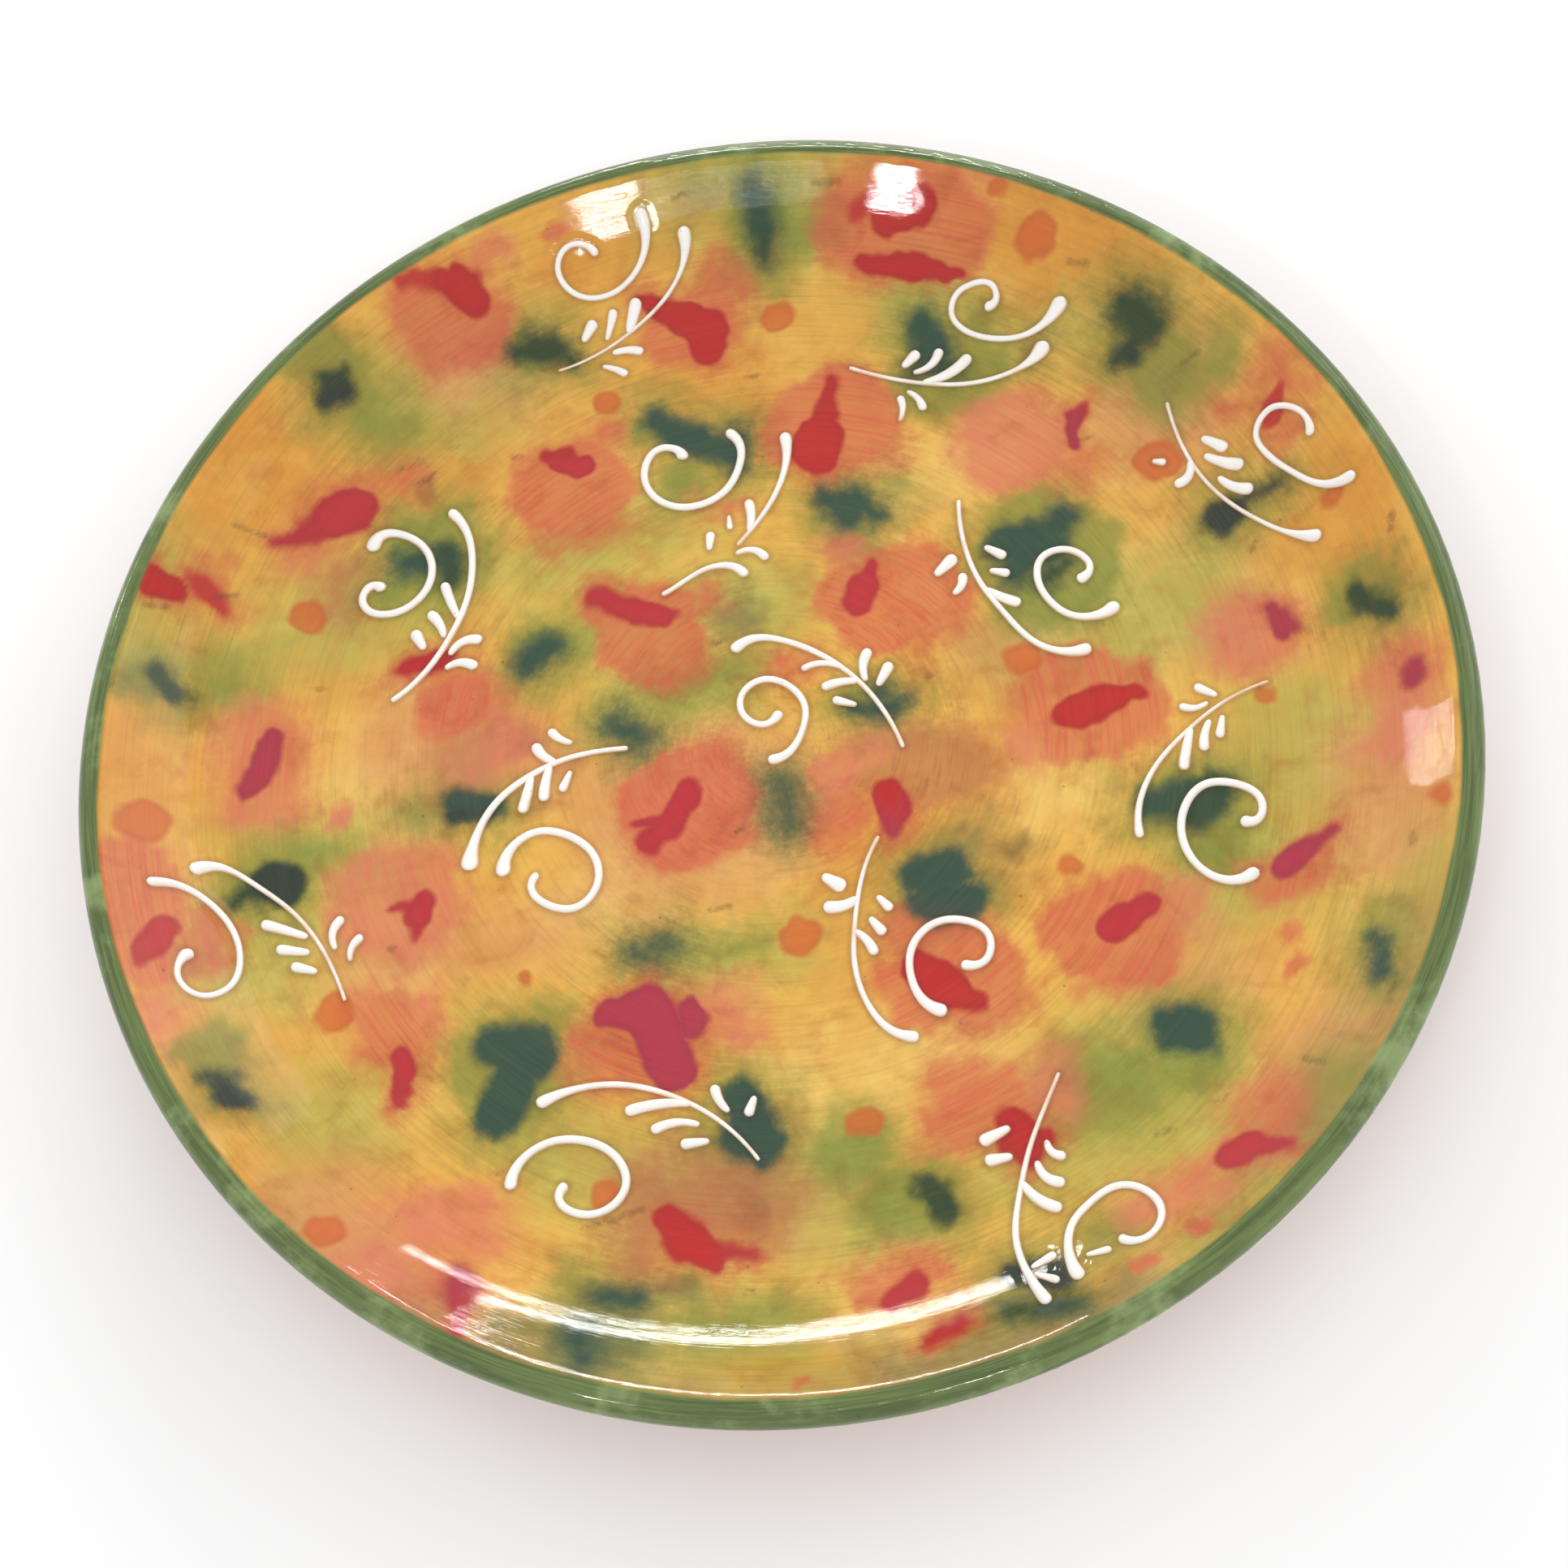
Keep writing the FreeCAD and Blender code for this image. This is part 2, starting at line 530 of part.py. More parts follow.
def foot_well_glaze(document, plate):
    """The honey glaze inside the foot ring."""
    skin = plate.foot_inner - plate.glaze
    under = plate.glaze + plate.clay
    return turned_piece(document, "foot_well_glaze", (
        straight("middle", plate.on_axis(under)),
        *middle_to_foot(plate, "root", plate.foot_inner, under),
        straight("hem", (plate.foot_inner, plate.foot_bare)),
        straight("hem_inside", (skin, plate.foot_bare)),
        straight("root_inside", plate.below(skin, under + plate.glaze)),
        *foot_to_middle(plate, "middle_inside", skin, under + plate.glaze),
    ))


def swell(distance, reach):
    """One at no distance, fading to nothing past the reach."""
    return math.exp(-(distance / reach) ** 2)


def curl_width(widths, along, length):
    head, line, eye = widths
    return line + (head - line) * swell(along, 6.0) + (eye - line) * swell(length - along, 3.0)


def stem_width(widths, along, length):
    head, middle, tip = widths
    return tip + (middle - tip) * (1 - along / length) + (head - middle) * swell(along, 6.0)


def leaf_width(widths, along, length):
    return widths[0] * (1.08 - 0.55 * (along / length) ** 1.6)


def joined_leaf_width(widths, along, length):
    return widths[0] * (1.08 - 0.55 * (along / length) ** 3)


def carry_on(crown, top, foot, depth):
    """The point a little further round a crown's circle, beyond its foot."""
    centre = crown.toShape().Curve.Center
    spoke = foot - centre
    upward = spoke.cross((top - centre).cross(spoke)).normalize()
    turn = depth / spoke.Length
    return centre + spoke * math.cos(turn) - upward * (spoke.Length * math.sin(turn))


class SlipPainter:
    """Lays slip strokes on the plate's face, spread to fit the painted radius."""

    # Where the sections of a rounded end stand, as shares of half the stroke's width.
    CAP_SHARES = (0.015, 0.1, 0.3, 0.62)
    SECTION_SPACING = 2.2
    # How far a stroke runs on past the last points of its route, as a share of its width there.
    OVERRUN = 0.3
    # How far below the face the tool goes that trims a joined leaf to its stem's side.
    TOOL_DEPTH = 0.25

    def __init__(self, plate, sheet):
        self.plate = plate
        self.height = sheet.get("slip_height")
        self.spread = plate.band_top(plate.lip)[0].number / PATTERN_RADIUS

    def stations(self, length, first_half, last_half):
        """Distances along a stroke at which a section is made, close together at its round ends."""
        first = [share * first_half for share in self.CAP_SHARES]
        last = [length - share * last_half for share in reversed(self.CAP_SHARES)]
        middle = max(length - first_half - last_half, 0.1)
        steps = max(2, round(middle / (self.SECTION_SPACING * self.spread)))
        between = [first_half + middle * step / steps for step in range(steps + 1)]
        return first + between + last

    def section(self, curve, along, half, depth):
        """The closed outline of a bead at a distance along its line. Its feet are on the face.

        With a depth its arc goes on below its feet, as a tool to cut other beads with.
        """
        parameter = curve.parameterAtDistance(along, curve.FirstParameter)
        place = curve.value(parameter)
        direction = curve.tangent(parameter)[0]
        base, normal = self.plate.face_at(place.x, place.y)
        side = normal.cross(direction).normalize() * half
        left, _ = self.plate.face_at(base.x + side.x, base.y + side.y)
        right, _ = self.plate.face_at(base.x - side.x, base.y - side.y)
        rise = min(self.height, 0.8 * half)
        top = base + normal * rise
        crown = Part.Arc(left, top, right)
        if depth:
            left, right = (carry_on(crown, top, foot, depth) for foot in (left, right))
            crown = Part.Arc(left, top, right)
        return Part.Wire([crown.toShape(), Part.LineSegment(right, left).toShape()])

    def centre_line(self, route, widths, stem_line=None):
        """A stroke's middle as a flat curve. With a stem's line given, it ends on that line."""
        points = [V(x * self.spread, y * self.spread, 0) for x, y in route]
        overrun = self.OVERRUN * self.spread
        points[0] += (points[0] - points[1]).normalize() * (overrun * widths[0])
        if stem_line:
            points[-1] = stem_line.value(stem_line.parameter(points[-1]))
        else:
            points[-1] += (points[-1] - points[-2]).normalize() * (overrun * widths[-1])
        curve = Part.BSplineCurve()
        curve.interpolate(points)
        return curve

    def stroke(self, curve, widths, width_rule, depth=0.0):
        """A domed bead of slip along a curve, with round ends, sitting on the glazed face."""
        length = curve.length()
        widths = [width * self.spread for width in widths]

        def half_at(along):
            return width_rule(widths, along, length) / 2

        first_half, last_half = half_at(0), half_at(length)
        sections = []
        for along in self.stations(length, first_half, last_half):
            half = half_at(along)
            for end, cap in ((along, first_half), (length - along, last_half)):
                if end < cap:
                    half *= math.sqrt(1 - (1 - end / cap) ** 2)
            sections.append(self.section(curve, along, half, depth))
        bead = Part.makeLoft(sections, True, False)
        if bead.Volume < 0:
            bead.reverse()
        return largest_solid(bead)

    def free_stroke(self, route, widths, width_rule):
        return self.stroke(self.centre_line(route, widths), widths, width_rule)

    def leaves(self, scroll, stem_line):
        """The leaf dabs of one scroll. A joined dab ends at the stem's side."""
        stem_tool = self.stroke(stem_line, scroll["stem"], stem_width, self.TOOL_DEPTH)
        solids = []
        for width, *route in scroll["leaves"]:
            solids.append(self.free_stroke(route, (width,), leaf_width))
        for width, *route in scroll.get("joined", ()):
            line = self.centre_line(route, (width,), stem_line)
            leaf = self.stroke(line, (width,), joined_leaf_width)
            solids.append(largest_solid(leaf.cut(stem_tool)))
        return Part.makeCompound(solids)


def largest_solid(shape):
    return max(shape.Solids, key=lambda solid: solid.Volume)


def add_slip(document, label, shape):
    """A document object for one slip node."""
    feature = document.addObject("Part::Feature", label)
    feature.Label = label
    feature.Shape = shape
    feature.Placement = FreeCAD.Placement()
    return feature


def slip_scrolls(document, painter):
    """Every scroll: its curl, its stem, a tail where it has one, and its group of leaf dabs."""
    features = []
    for number, scroll in enumerate(SCROLLS, start=1):
        name = "scroll_%02d_" % number
        stem_line = painter.centre_line(scroll["stem_route"], scroll["stem"])
        stem = painter.stroke(stem_line, scroll["stem"], stem_width)
        curl = painter.free_stroke(scroll["curl_route"], scroll["curl"], curl_width)
        features.append(add_slip(document, name + "stem", stem))
        features.append(add_slip(document, name + "curl", curl))
        if "tail" in scroll:
            tail = painter.free_stroke(scroll["tail_route"], scroll["tail"], stem_width)
            features.append(add_slip(document, name + "tail", tail))
        features.append(add_slip(document, name + "leaves", painter.leaves(scroll, stem_line)))
    return features


def check_document(document, pieces):
    """Stop if any object failed to compute or any piece is not a sound solid."""
    for item in document.Objects:
        if "Invalid" in item.State or "Error" in item.State:
            raise RuntimeError("%s did not compute: %s" % (item.Label, item.State))
    for piece in pieces:
        if piece.Shape.isNull() or not piece.Shape.isValid() or not piece.Shape.Solids:
            raise RuntimeError("%s is not a sound solid" % piece.Label)


def main():
    document = FreeCAD.newDocument("painted_plate")
    sheet = make_sheet(document)
    plate = Plate(sheet)
    pieces = [
        clay_body(document, plate),
        face_glaze(document, plate),
        rim_glaze(document, plate),
        back_glaze(document, plate),
        foot_well_glaze(document, plate),
    ]
    pieces += slip_scrolls(document, SlipPainter(plate, sheet))
    document.recompute()
    check_document(document, pieces)
    os.makedirs("parts", exist_ok=True)
    for piece in pieces:
        piece.Shape.exportStep("parts/%s.step" % piece.Label)
    print("%d nodes written" % len(pieces))


main()
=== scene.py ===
"""Hand painted ceramic plate: glazes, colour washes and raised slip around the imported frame.

Everything is in metres, in the frame's own axes. Places on the painted face are written in millimetres.
"""

import json
import math

import bpy
import numpy as np
from mathutils import Matrix, Vector, kdtree


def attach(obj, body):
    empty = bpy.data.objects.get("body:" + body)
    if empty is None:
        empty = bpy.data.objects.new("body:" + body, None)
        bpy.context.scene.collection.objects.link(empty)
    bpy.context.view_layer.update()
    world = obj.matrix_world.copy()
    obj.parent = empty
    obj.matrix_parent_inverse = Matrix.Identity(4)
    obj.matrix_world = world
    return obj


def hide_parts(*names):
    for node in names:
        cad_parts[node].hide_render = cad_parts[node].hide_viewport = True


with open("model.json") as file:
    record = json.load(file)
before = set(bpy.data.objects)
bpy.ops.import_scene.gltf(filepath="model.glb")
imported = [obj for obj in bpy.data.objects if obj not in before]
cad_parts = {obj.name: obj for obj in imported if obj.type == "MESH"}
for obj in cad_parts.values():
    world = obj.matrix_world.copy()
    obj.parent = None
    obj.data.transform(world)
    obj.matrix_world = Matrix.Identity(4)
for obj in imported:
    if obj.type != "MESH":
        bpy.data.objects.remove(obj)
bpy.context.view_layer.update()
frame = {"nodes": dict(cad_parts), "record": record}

MM = 0.001

# ---------------------------------------------------------------- the plate's face

FLOOR_UP = 12.2          # glazed floor above the table
COVE = 60.0              # radius of the bend between well and wall
SLOPE = math.radians(40)
LIP_ACROSS, LIP_UP, LIP = 156.0, 30.0, 4.0
BAND_START = math.radians(100)   # where the rim's green begins on the lip
GLAZE = 0.6
COVE_UP = FLOOR_UP + COVE
RISE = LIP_UP - COVE_UP + (LIP + COVE) * math.cos(SLOPE)
WELL = LIP_ACROSS - (LIP + COVE) * math.sin(SLOPE) - RISE / math.tan(SLOPE)
WALL_START = WELL + COVE * math.sin(SLOPE)
WALL_END = LIP_ACROSS - LIP * math.sin(SLOPE)


def face_profile(along):
    """Radius and height of the glazed face at distances along it from the middle."""
    along = np.asarray(along, float)
    cove_end = WELL + COVE * SLOPE
    wall_end = cove_end + (WALL_END - WALL_START) / math.cos(SLOPE)
    bend = np.clip((along - WELL) / COVE, 0, SLOPE)
    up_wall = np.clip(along - cove_end, 0, wall_end - cove_end)
    turn = np.clip((along - wall_end) / LIP, 0, None)
    radius = np.minimum(along, WELL) + COVE * np.sin(bend) + up_wall * math.cos(SLOPE)
    height = COVE_UP - COVE * np.cos(bend) + up_wall * math.sin(SLOPE)
    radius = radius + LIP * (math.sin(SLOPE) - np.sin(SLOPE - turn))
    height = height + LIP * (np.cos(SLOPE - turn) - math.cos(SLOPE))
    return radius, height


FACE_LENGTH = (WELL + COVE * SLOPE + (WALL_END - WALL_START) / math.cos(SLOPE)
               + LIP * (BAND_START - math.pi / 2 + SLOPE))

# ---------------------------------------------------------------- colours


def linear(red, green, blue):
    """A colour given as it looks on a screen, 0 to 255, as linear values."""
    return tuple((c / 255 / 12.92) if c <= 10 else ((c / 255 + 0.055) / 1.055) ** 2.4
                 for c in (red, green, blue))


COLOURS = dict(
    honey=(232, 178, 74), amber=(220, 148, 44), straw=(238, 200, 104), lime=(174, 174, 72),
    peach=(216, 150, 92), sand=(196, 156, 88), near_rim_shade=(160, 142, 82),
    coral=(208, 88, 62), salmon=(216, 114, 88), brick=(190, 56, 44), clay=(176, 104, 60),
    crimson=(184, 6, 16), rose=(184, 24, 42), magenta=(172, 34, 62), ember=(196, 44, 32),
    teal=(24, 66, 52), fir=(20, 54, 22), navy=(16, 36, 34), moss=(78, 92, 20), olive=(116, 134, 40),
    smoke=(108, 106, 66), umber=(118, 76, 24), tangerine=(206, 92, 28),
)

# Broad soft grounds: colour, x, y, width, height, tilt in degrees. The dull olive rows laid along the rim on
# the -y side are painted shade, not paint.
GROUNDS = (
    ("amber", -113, 98, 40, 34, 40), ("amber", 98, 106, 50, 34, -45), ("amber", 144, 19, 22, 40, 0),
    ("amber", -148, 28, 18, 40, 8), ("amber", -67, 96, 34, 20, 0), ("amber", 5, 100, 34, 16, 0),
    ("amber", -12, 142, 40, 12, 0), ("amber", 22, -32, 30, 14, 0), ("amber", 52, -20, 24, 20, 0),
    ("amber", -140, -60, 20, 34, -20), ("amber", -115, -85, 34, 24, -40),
    ("straw", -108, -30, 44, 22, -20), ("straw", 20, -84, 40, 22, 0), ("straw", -10, -88, 14, 34, 0),
    ("straw", 50, 60, 26, 22, 0), ("straw", -40, -30, 30, 18, 0), ("straw", 62, -25, 26, 26, 0),
    ("straw", 95, 20, 40, 24, 0), ("straw", -96, 6, 26, 30, 0), ("straw", -2, -128, 20, 30, 0),
    ("lime", -118, 50, 28, 18, 30), ("lime", -110, -4, 44, 22, -20), ("lime", -23, 14, 40, 22, 0),
    ("lime", 8, 36, 22, 20, 0), ("lime", 62, -96, 40, 30, 0), ("lime", -8, -108, 34, 30, 0),
    ("lime", -62, 112, 40, 30, 20), ("lime", 60, 110, 24, 24, 0), ("lime", 118, -32, 40, 40, 60),
    ("lime", 26, 136, 34, 26, 0), ("lime", 100, 12, 34, 22, 0), ("lime", -58, -92, 24, 40, 60),
    ("lime", 132, -75, 20, 34, -30), ("lime", -112, -70, 26, 30, 0), ("lime", -20, 40, 60, 20, 0),
    ("lime", -42, 60, 30, 14, 0), ("lime", 88, 92, 24, 16, 0), ("lime", -20, -50, 40, 14, 0),
    ("peach", -52, 118, 30, 18, 0), ("peach", 78, -78, 30, 12, 0), ("peach", -80, -34, 60, 12, 0),
    ("peach", 110, 62, 34, 30, 0), ("peach", -78, 20, 40, 40, 0), ("peach", 30, -150, 40, 10, 8),
    ("peach", 95, -112, 40, 24, 42), ("peach", 104, 6, 34, 16, 0), ("peach", -20, -14, 60, 44, 0),
    ("peach", 130, -50, 24, 40, -20), ("peach", -112, -100, 30, 40, 40), ("peach", -54, 6, 18, 14, 0),
    # Painted shade: the three dull olive rows here, laid along the rim on the -y side, darken the face there
    # as shade would.
    ("near_rim_shade", 0, -152, 130, 16, 0), ("sand", -108, -112, 60, 16, -45), ("near_rim_shade", 112, -106, 70, 16, 42),
    ("near_rim_shade", -70, -138, 60, 14, -26), ("lime", 20, 150, 60, 16, 0), ("lime", -140, 64, 16, 40, -26),
    ("lime", -128, -28, 30, 26, 0), ("lime", 84, 10, 60, 26, 0), ("lime", 96, -58, 40, 26, 0),
    ("lime", -20, 66, 44, 20, 10), ("lime", -84, 62, 50, 30, 20), ("lime", 52, -112, 60, 22, 0),
    ("sand", -34, -104, 44, 22, -12), ("lime", -44, -134, 60, 16, -16), ("sand", 60, 12, 26, 16, 0),
)

# Thin washes: colour, softness of the edge, x, y, width, height, tilt.
WASHES = (
    ("coral", 3, -56, 129, 32, 24, -10), ("salmon", 3, -45, 141, 18, 8, 22),
    ("coral", 4, -84, 92, 28, 9, 8), ("salmon", 6, -102, 78, 16, 14, 30), ("clay", 5, -96, 66, 12, 20, -20),
    ("brick", 3, -135, 67, 9, 8, 0), ("coral", 3, -125, 69, 10, 15, 0),
    ("coral", 2, -35, 80, 32, 30, 0), ("brick", 5, -34, 68, 26, 10, 4), ("coral", 3, -24, 94, 12, 8, 0),
    ("coral", 3, 3, 119, 28, 22, 0), ("coral", 4, 14, 128, 16, 12, -20), ("brick", 4, 12, 126, 12, 10, 0),
    ("coral", 3, 60, 128, 46, 26, -20), ("salmon", 4, 82, 134, 20, 10, -30),
    ("brick", 5, 64, 120, 24, 10, -20),
    ("coral", 2, 32, 82, 36, 32, 0), ("brick", 5, 36, 70, 26, 8, 0), ("coral", 4, 0, 65, 10, 7, 0),
    ("salmon", 3, 74, 66, 32, 30, 0), ("coral", 6, 84, 56, 20, 14, -30),
    ("coral", 3, 136, 45, 9, 10, 0), ("brick", 4, 126, 55, 12, 6, -30), ("coral", 5, 138, 58, 14, 10, -40),
    ("coral", 2, -24, 36, 26, 32, 0), ("brick", 4, -20, 26, 20, 12, 0), ("coral", 3, -8, 40, 10, 8, 0),
    ("coral", 2, 36, 31, 38, 28, 0), ("brick", 5, 44, 18, 20, 10, 14), ("salmon", 4, 28, 46, 12, 10, 0),
    ("coral", 4, 8, 19, 13, 8, 0), ("coral", 3, -71, 28, 24, 20, 0), ("salmon", 6, -66, 14, 26, 16, 20),
    ("salmon", 5, -120, 22, 24, 36, -10), ("coral", 5, -116, 26, 12, 20, -20),
    ("salmon", 1, -104, 7, 7, 6, -20),
    ("coral", 3, -148, -15, 18, 40, 0), ("brick", 5, -146, -4, 14, 12, 0), ("coral", 3, -136, -22, 12, 18, 0),
    ("salmon", 3, -93, -19, 34, 32, 0), ("coral", 5, -90, -14, 22, 18, 0),
    ("coral", 2, -22, -12, 34, 34, 0), ("brick", 5, -14, -4, 16, 14, 0), ("salmon", 2, 18, -10, 24, 12, 20),
    ("clay", 4, 32, -14, 40, 22, -8), ("coral", 4, 12, -22, 16, 18, 0),
    ("coral", 2, 74, -8, 36, 32, 0), ("brick", 4, 64, -2, 16, 16, 0), ("coral", 4, 82, -18, 16, 10, 0),
    ("salmon", 4, 115, 0, 26, 22, 0), ("coral", 5, 120, 2, 12, 12, 0),
    ("salmon", 4, 140, -30, 16, 32, -20), ("coral", 5, 142, -22, 12, 14, 0),
    ("coral", 3, -98, -50, 20, 26, 0), ("salmon", 4, -92, -46, 14, 12, 0),
    ("rose", 4, -42, -64, 30, 26, 0), ("coral", 4, -53, -66, 16, 20, 0), ("salmon", 5, -24, -64, 16, 20, 0),
    ("coral", 2, 27, -66, 34, 28, 0), ("brick", 5, 34, -74, 22, 12, 10), ("coral", 3, 24, -54, 22, 12, 0),
    ("coral", 2, 66, -64, 34, 28, 0), ("salmon", 4, 82, -62, 14, 16, 0), ("brick", 5, 58, -58, 16, 12, 0),
    ("coral", 3, 107, -60, 24, 16, 12), ("coral", 1, 102, -83, 8, 5, 20), ("coral", 2, 103, -76, 6, 5, 0),
    ("salmon", 4, -90, -98, 28, 18, -20), ("salmon", 5, -106, -108, 22, 16, -40),
    ("coral", 5, -92, -112, 18, 14, -30),
    ("clay", 6, -36, -104, 40, 22, -12), ("clay", 6, -50, -110, 16, 18, 0),
    ("coral", 3, 27, -98, 30, 20, 0), ("coral", 3, 24, -88, 16, 10, 0), ("salmon", 4, 44, -96, 14, 16, 0),
    ("rose", 2, -4, -133, 13, 8, 0), ("rose", 3, 10, -131, 10, 7, 10), ("coral", 4, 2, -131, 24, 12, 0),
    ("coral", 3, 69, -124, 16, 7, 8), ("salmon", 5, 62, -127, 26, 12, 10), ("coral", 5, 84, -116, 22, 14, 30),
    ("coral", 1, 62.6, -135, 8, 5, 12), ("coral", 1, 52.6, -142, 7, 4, 10),
    ("coral", 1, -22, -150, 5, 3, -10),
    ("coral", 1, -25, 147.6, 6, 4, 20), ("salmon", 5, -146, -40, 12, 18, 0), ("salmon", 3, 57, -14, 8, 14, 0),
)
LEAF_WASHES = (
    ("olive", 4, -88, 120, 22, 20, 20), ("moss", 3, -88, 122, 11, 9, 0), ("olive", 6, -80, 108, 20, 22, 10),
    ("olive", 5, -72, 72, 32, 32, 0), ("umber", 2, -72, 89, 7, 5, 0), ("olive", 4, -84, 62, 16, 12, 0),
    ("olive", 3, -8, 75, 17, 14, 0), ("moss", 4, -8, 74, 12, 9, 0), ("umber", 4, 16, 88, 8, 7, 0),
    ("olive", 4, 36, 134, 20, 15, 10), ("olive", 4, 26, 140, 24, 14, 0), ("olive", 5, 18, 150, 22, 6, 0),
    ("olive", 4, 63, 90, 34, 28, 0), ("olive", 4, 74, 100, 12, 12, 0), ("umber", 5, 84, 88, 12, 10, 0),
    ("olive", 4, 112, 76, 22, 36, 20), ("moss", 3, 112, 80, 12, 16, 10), ("olive", 4, 126, 70, 14, 14, 0),
    ("olive", 3, -140, 43, 16, 14, 0), ("moss", 3, -144, 43, 9, 10, 0), ("olive", 6, -126, 44, 16, 14, 0),
    ("smoke", 4, 33, 46, 14, 10, 0), ("olive", 5, 42, 62, 12, 12, 0), ("olive", 4, 30, 56, 22, 22, 0),
    ("olive", 3, 74, 32, 38, 40, 0), ("moss", 4, 80, 26, 14, 18, 0), ("olive", 4, 70, 46, 26, 12, 0),
    ("olive", 5, -70, 10, 16, 18, 0), ("umber", 3, -58, 15, 9, 7, 0), ("olive", 5, -84, 2, 14, 10, 0),
    ("olive", 3, 140, 0, 18, 18, 20), ("moss", 3, 146, 2, 9, 5, 30), ("olive", 5, 120, 30, 20, 14, 0),
    ("olive", 4, -122, -9, 22, 14, 0), ("moss", 3, -127, -11, 10, 7, 0), ("olive", 6, -112, -2, 20, 12, 0),
    ("umber", 3, 49, -39, 13, 7, -10), ("olive", 4, 94, -48, 18, 22, 0), ("moss", 3, 92, -51, 10, 11, 0),
    ("olive", 4, 88, -36, 28, 20, 0), ("moss", 3, -137, -57, 8, 7, 0), ("olive", 3, -136, -52, 14, 18, 0),
    ("olive", 3, -74, -66, 30, 30, 0), ("olive", 5, -62, -56, 12, 16, 0), ("olive", 4, -84, -60, 12, 14, 0),
    ("olive", 4, 8, -114, 26, 24, 0), ("moss", 3, 0, -115, 9, 9, 0), ("olive", 5, -2, -100, 22, 16, 0),
    ("umber", 3, 55.6, -101, 10, 8, 0), ("olive", 5, 56, -98, 30, 24, 20), ("olive", 5, 74, -96, 22, 20, 0),
    ("moss", 3, -76, -126, 13, 6, -30), ("olive", 5, -60, -120, 26, 14, -20),
    ("teal", 4, -50, -122, 22, 8, -18),
    ("teal", 5, -62, -130, 30, 20, -20), ("olive", 6, -34, -132, 30, 14, -10),
    ("smoke", 7, 18, -150, 50, 8, 4),
    ("olive", 6, 70, -134, 30, 10, 26), ("olive", 7, 96, -116, 24, 14, 40),
    ("smoke", 7, -86, -128, 40, 8, -34),
    ("olive", 5, 117, -82, 10, 22, -20), ("moss", 3, 119, -94, 6, 8, -20), ("olive", 5, -28, -92, 18, 18, 0),
    ("olive", 4, 26, -142, 26, 12, 0), ("olive", 5, 46, -132, 20, 14, 0), ("smoke", 6, 40, -146, 26, 8, 12),
    ("smoke", 5, -2, 35, 14, 11, 0), ("olive", 6, -14, 20, 34, 14, 0), ("smoke", 5, -32, 11, 12, 12, 0),
    ("smoke", 5, -1, -16, 9, 12, 0), ("smoke", 5, -38, -44, 17, 8, -8), ("olive", 5, -20, -48, 18, 8, 0),
    ("olive", 4, 24, 6, 18, 12, 0), ("olive", 4, -52, 38, 18, 14, 0), ("olive", 4, -36, 118, 22, 14, 0),
    ("olive", 3, -8, 90, 24, 16, -40), ("smoke", 6, 36, -36, 24, 12, 0), ("olive", 6, 130, 96, 20, 10, -50),
)

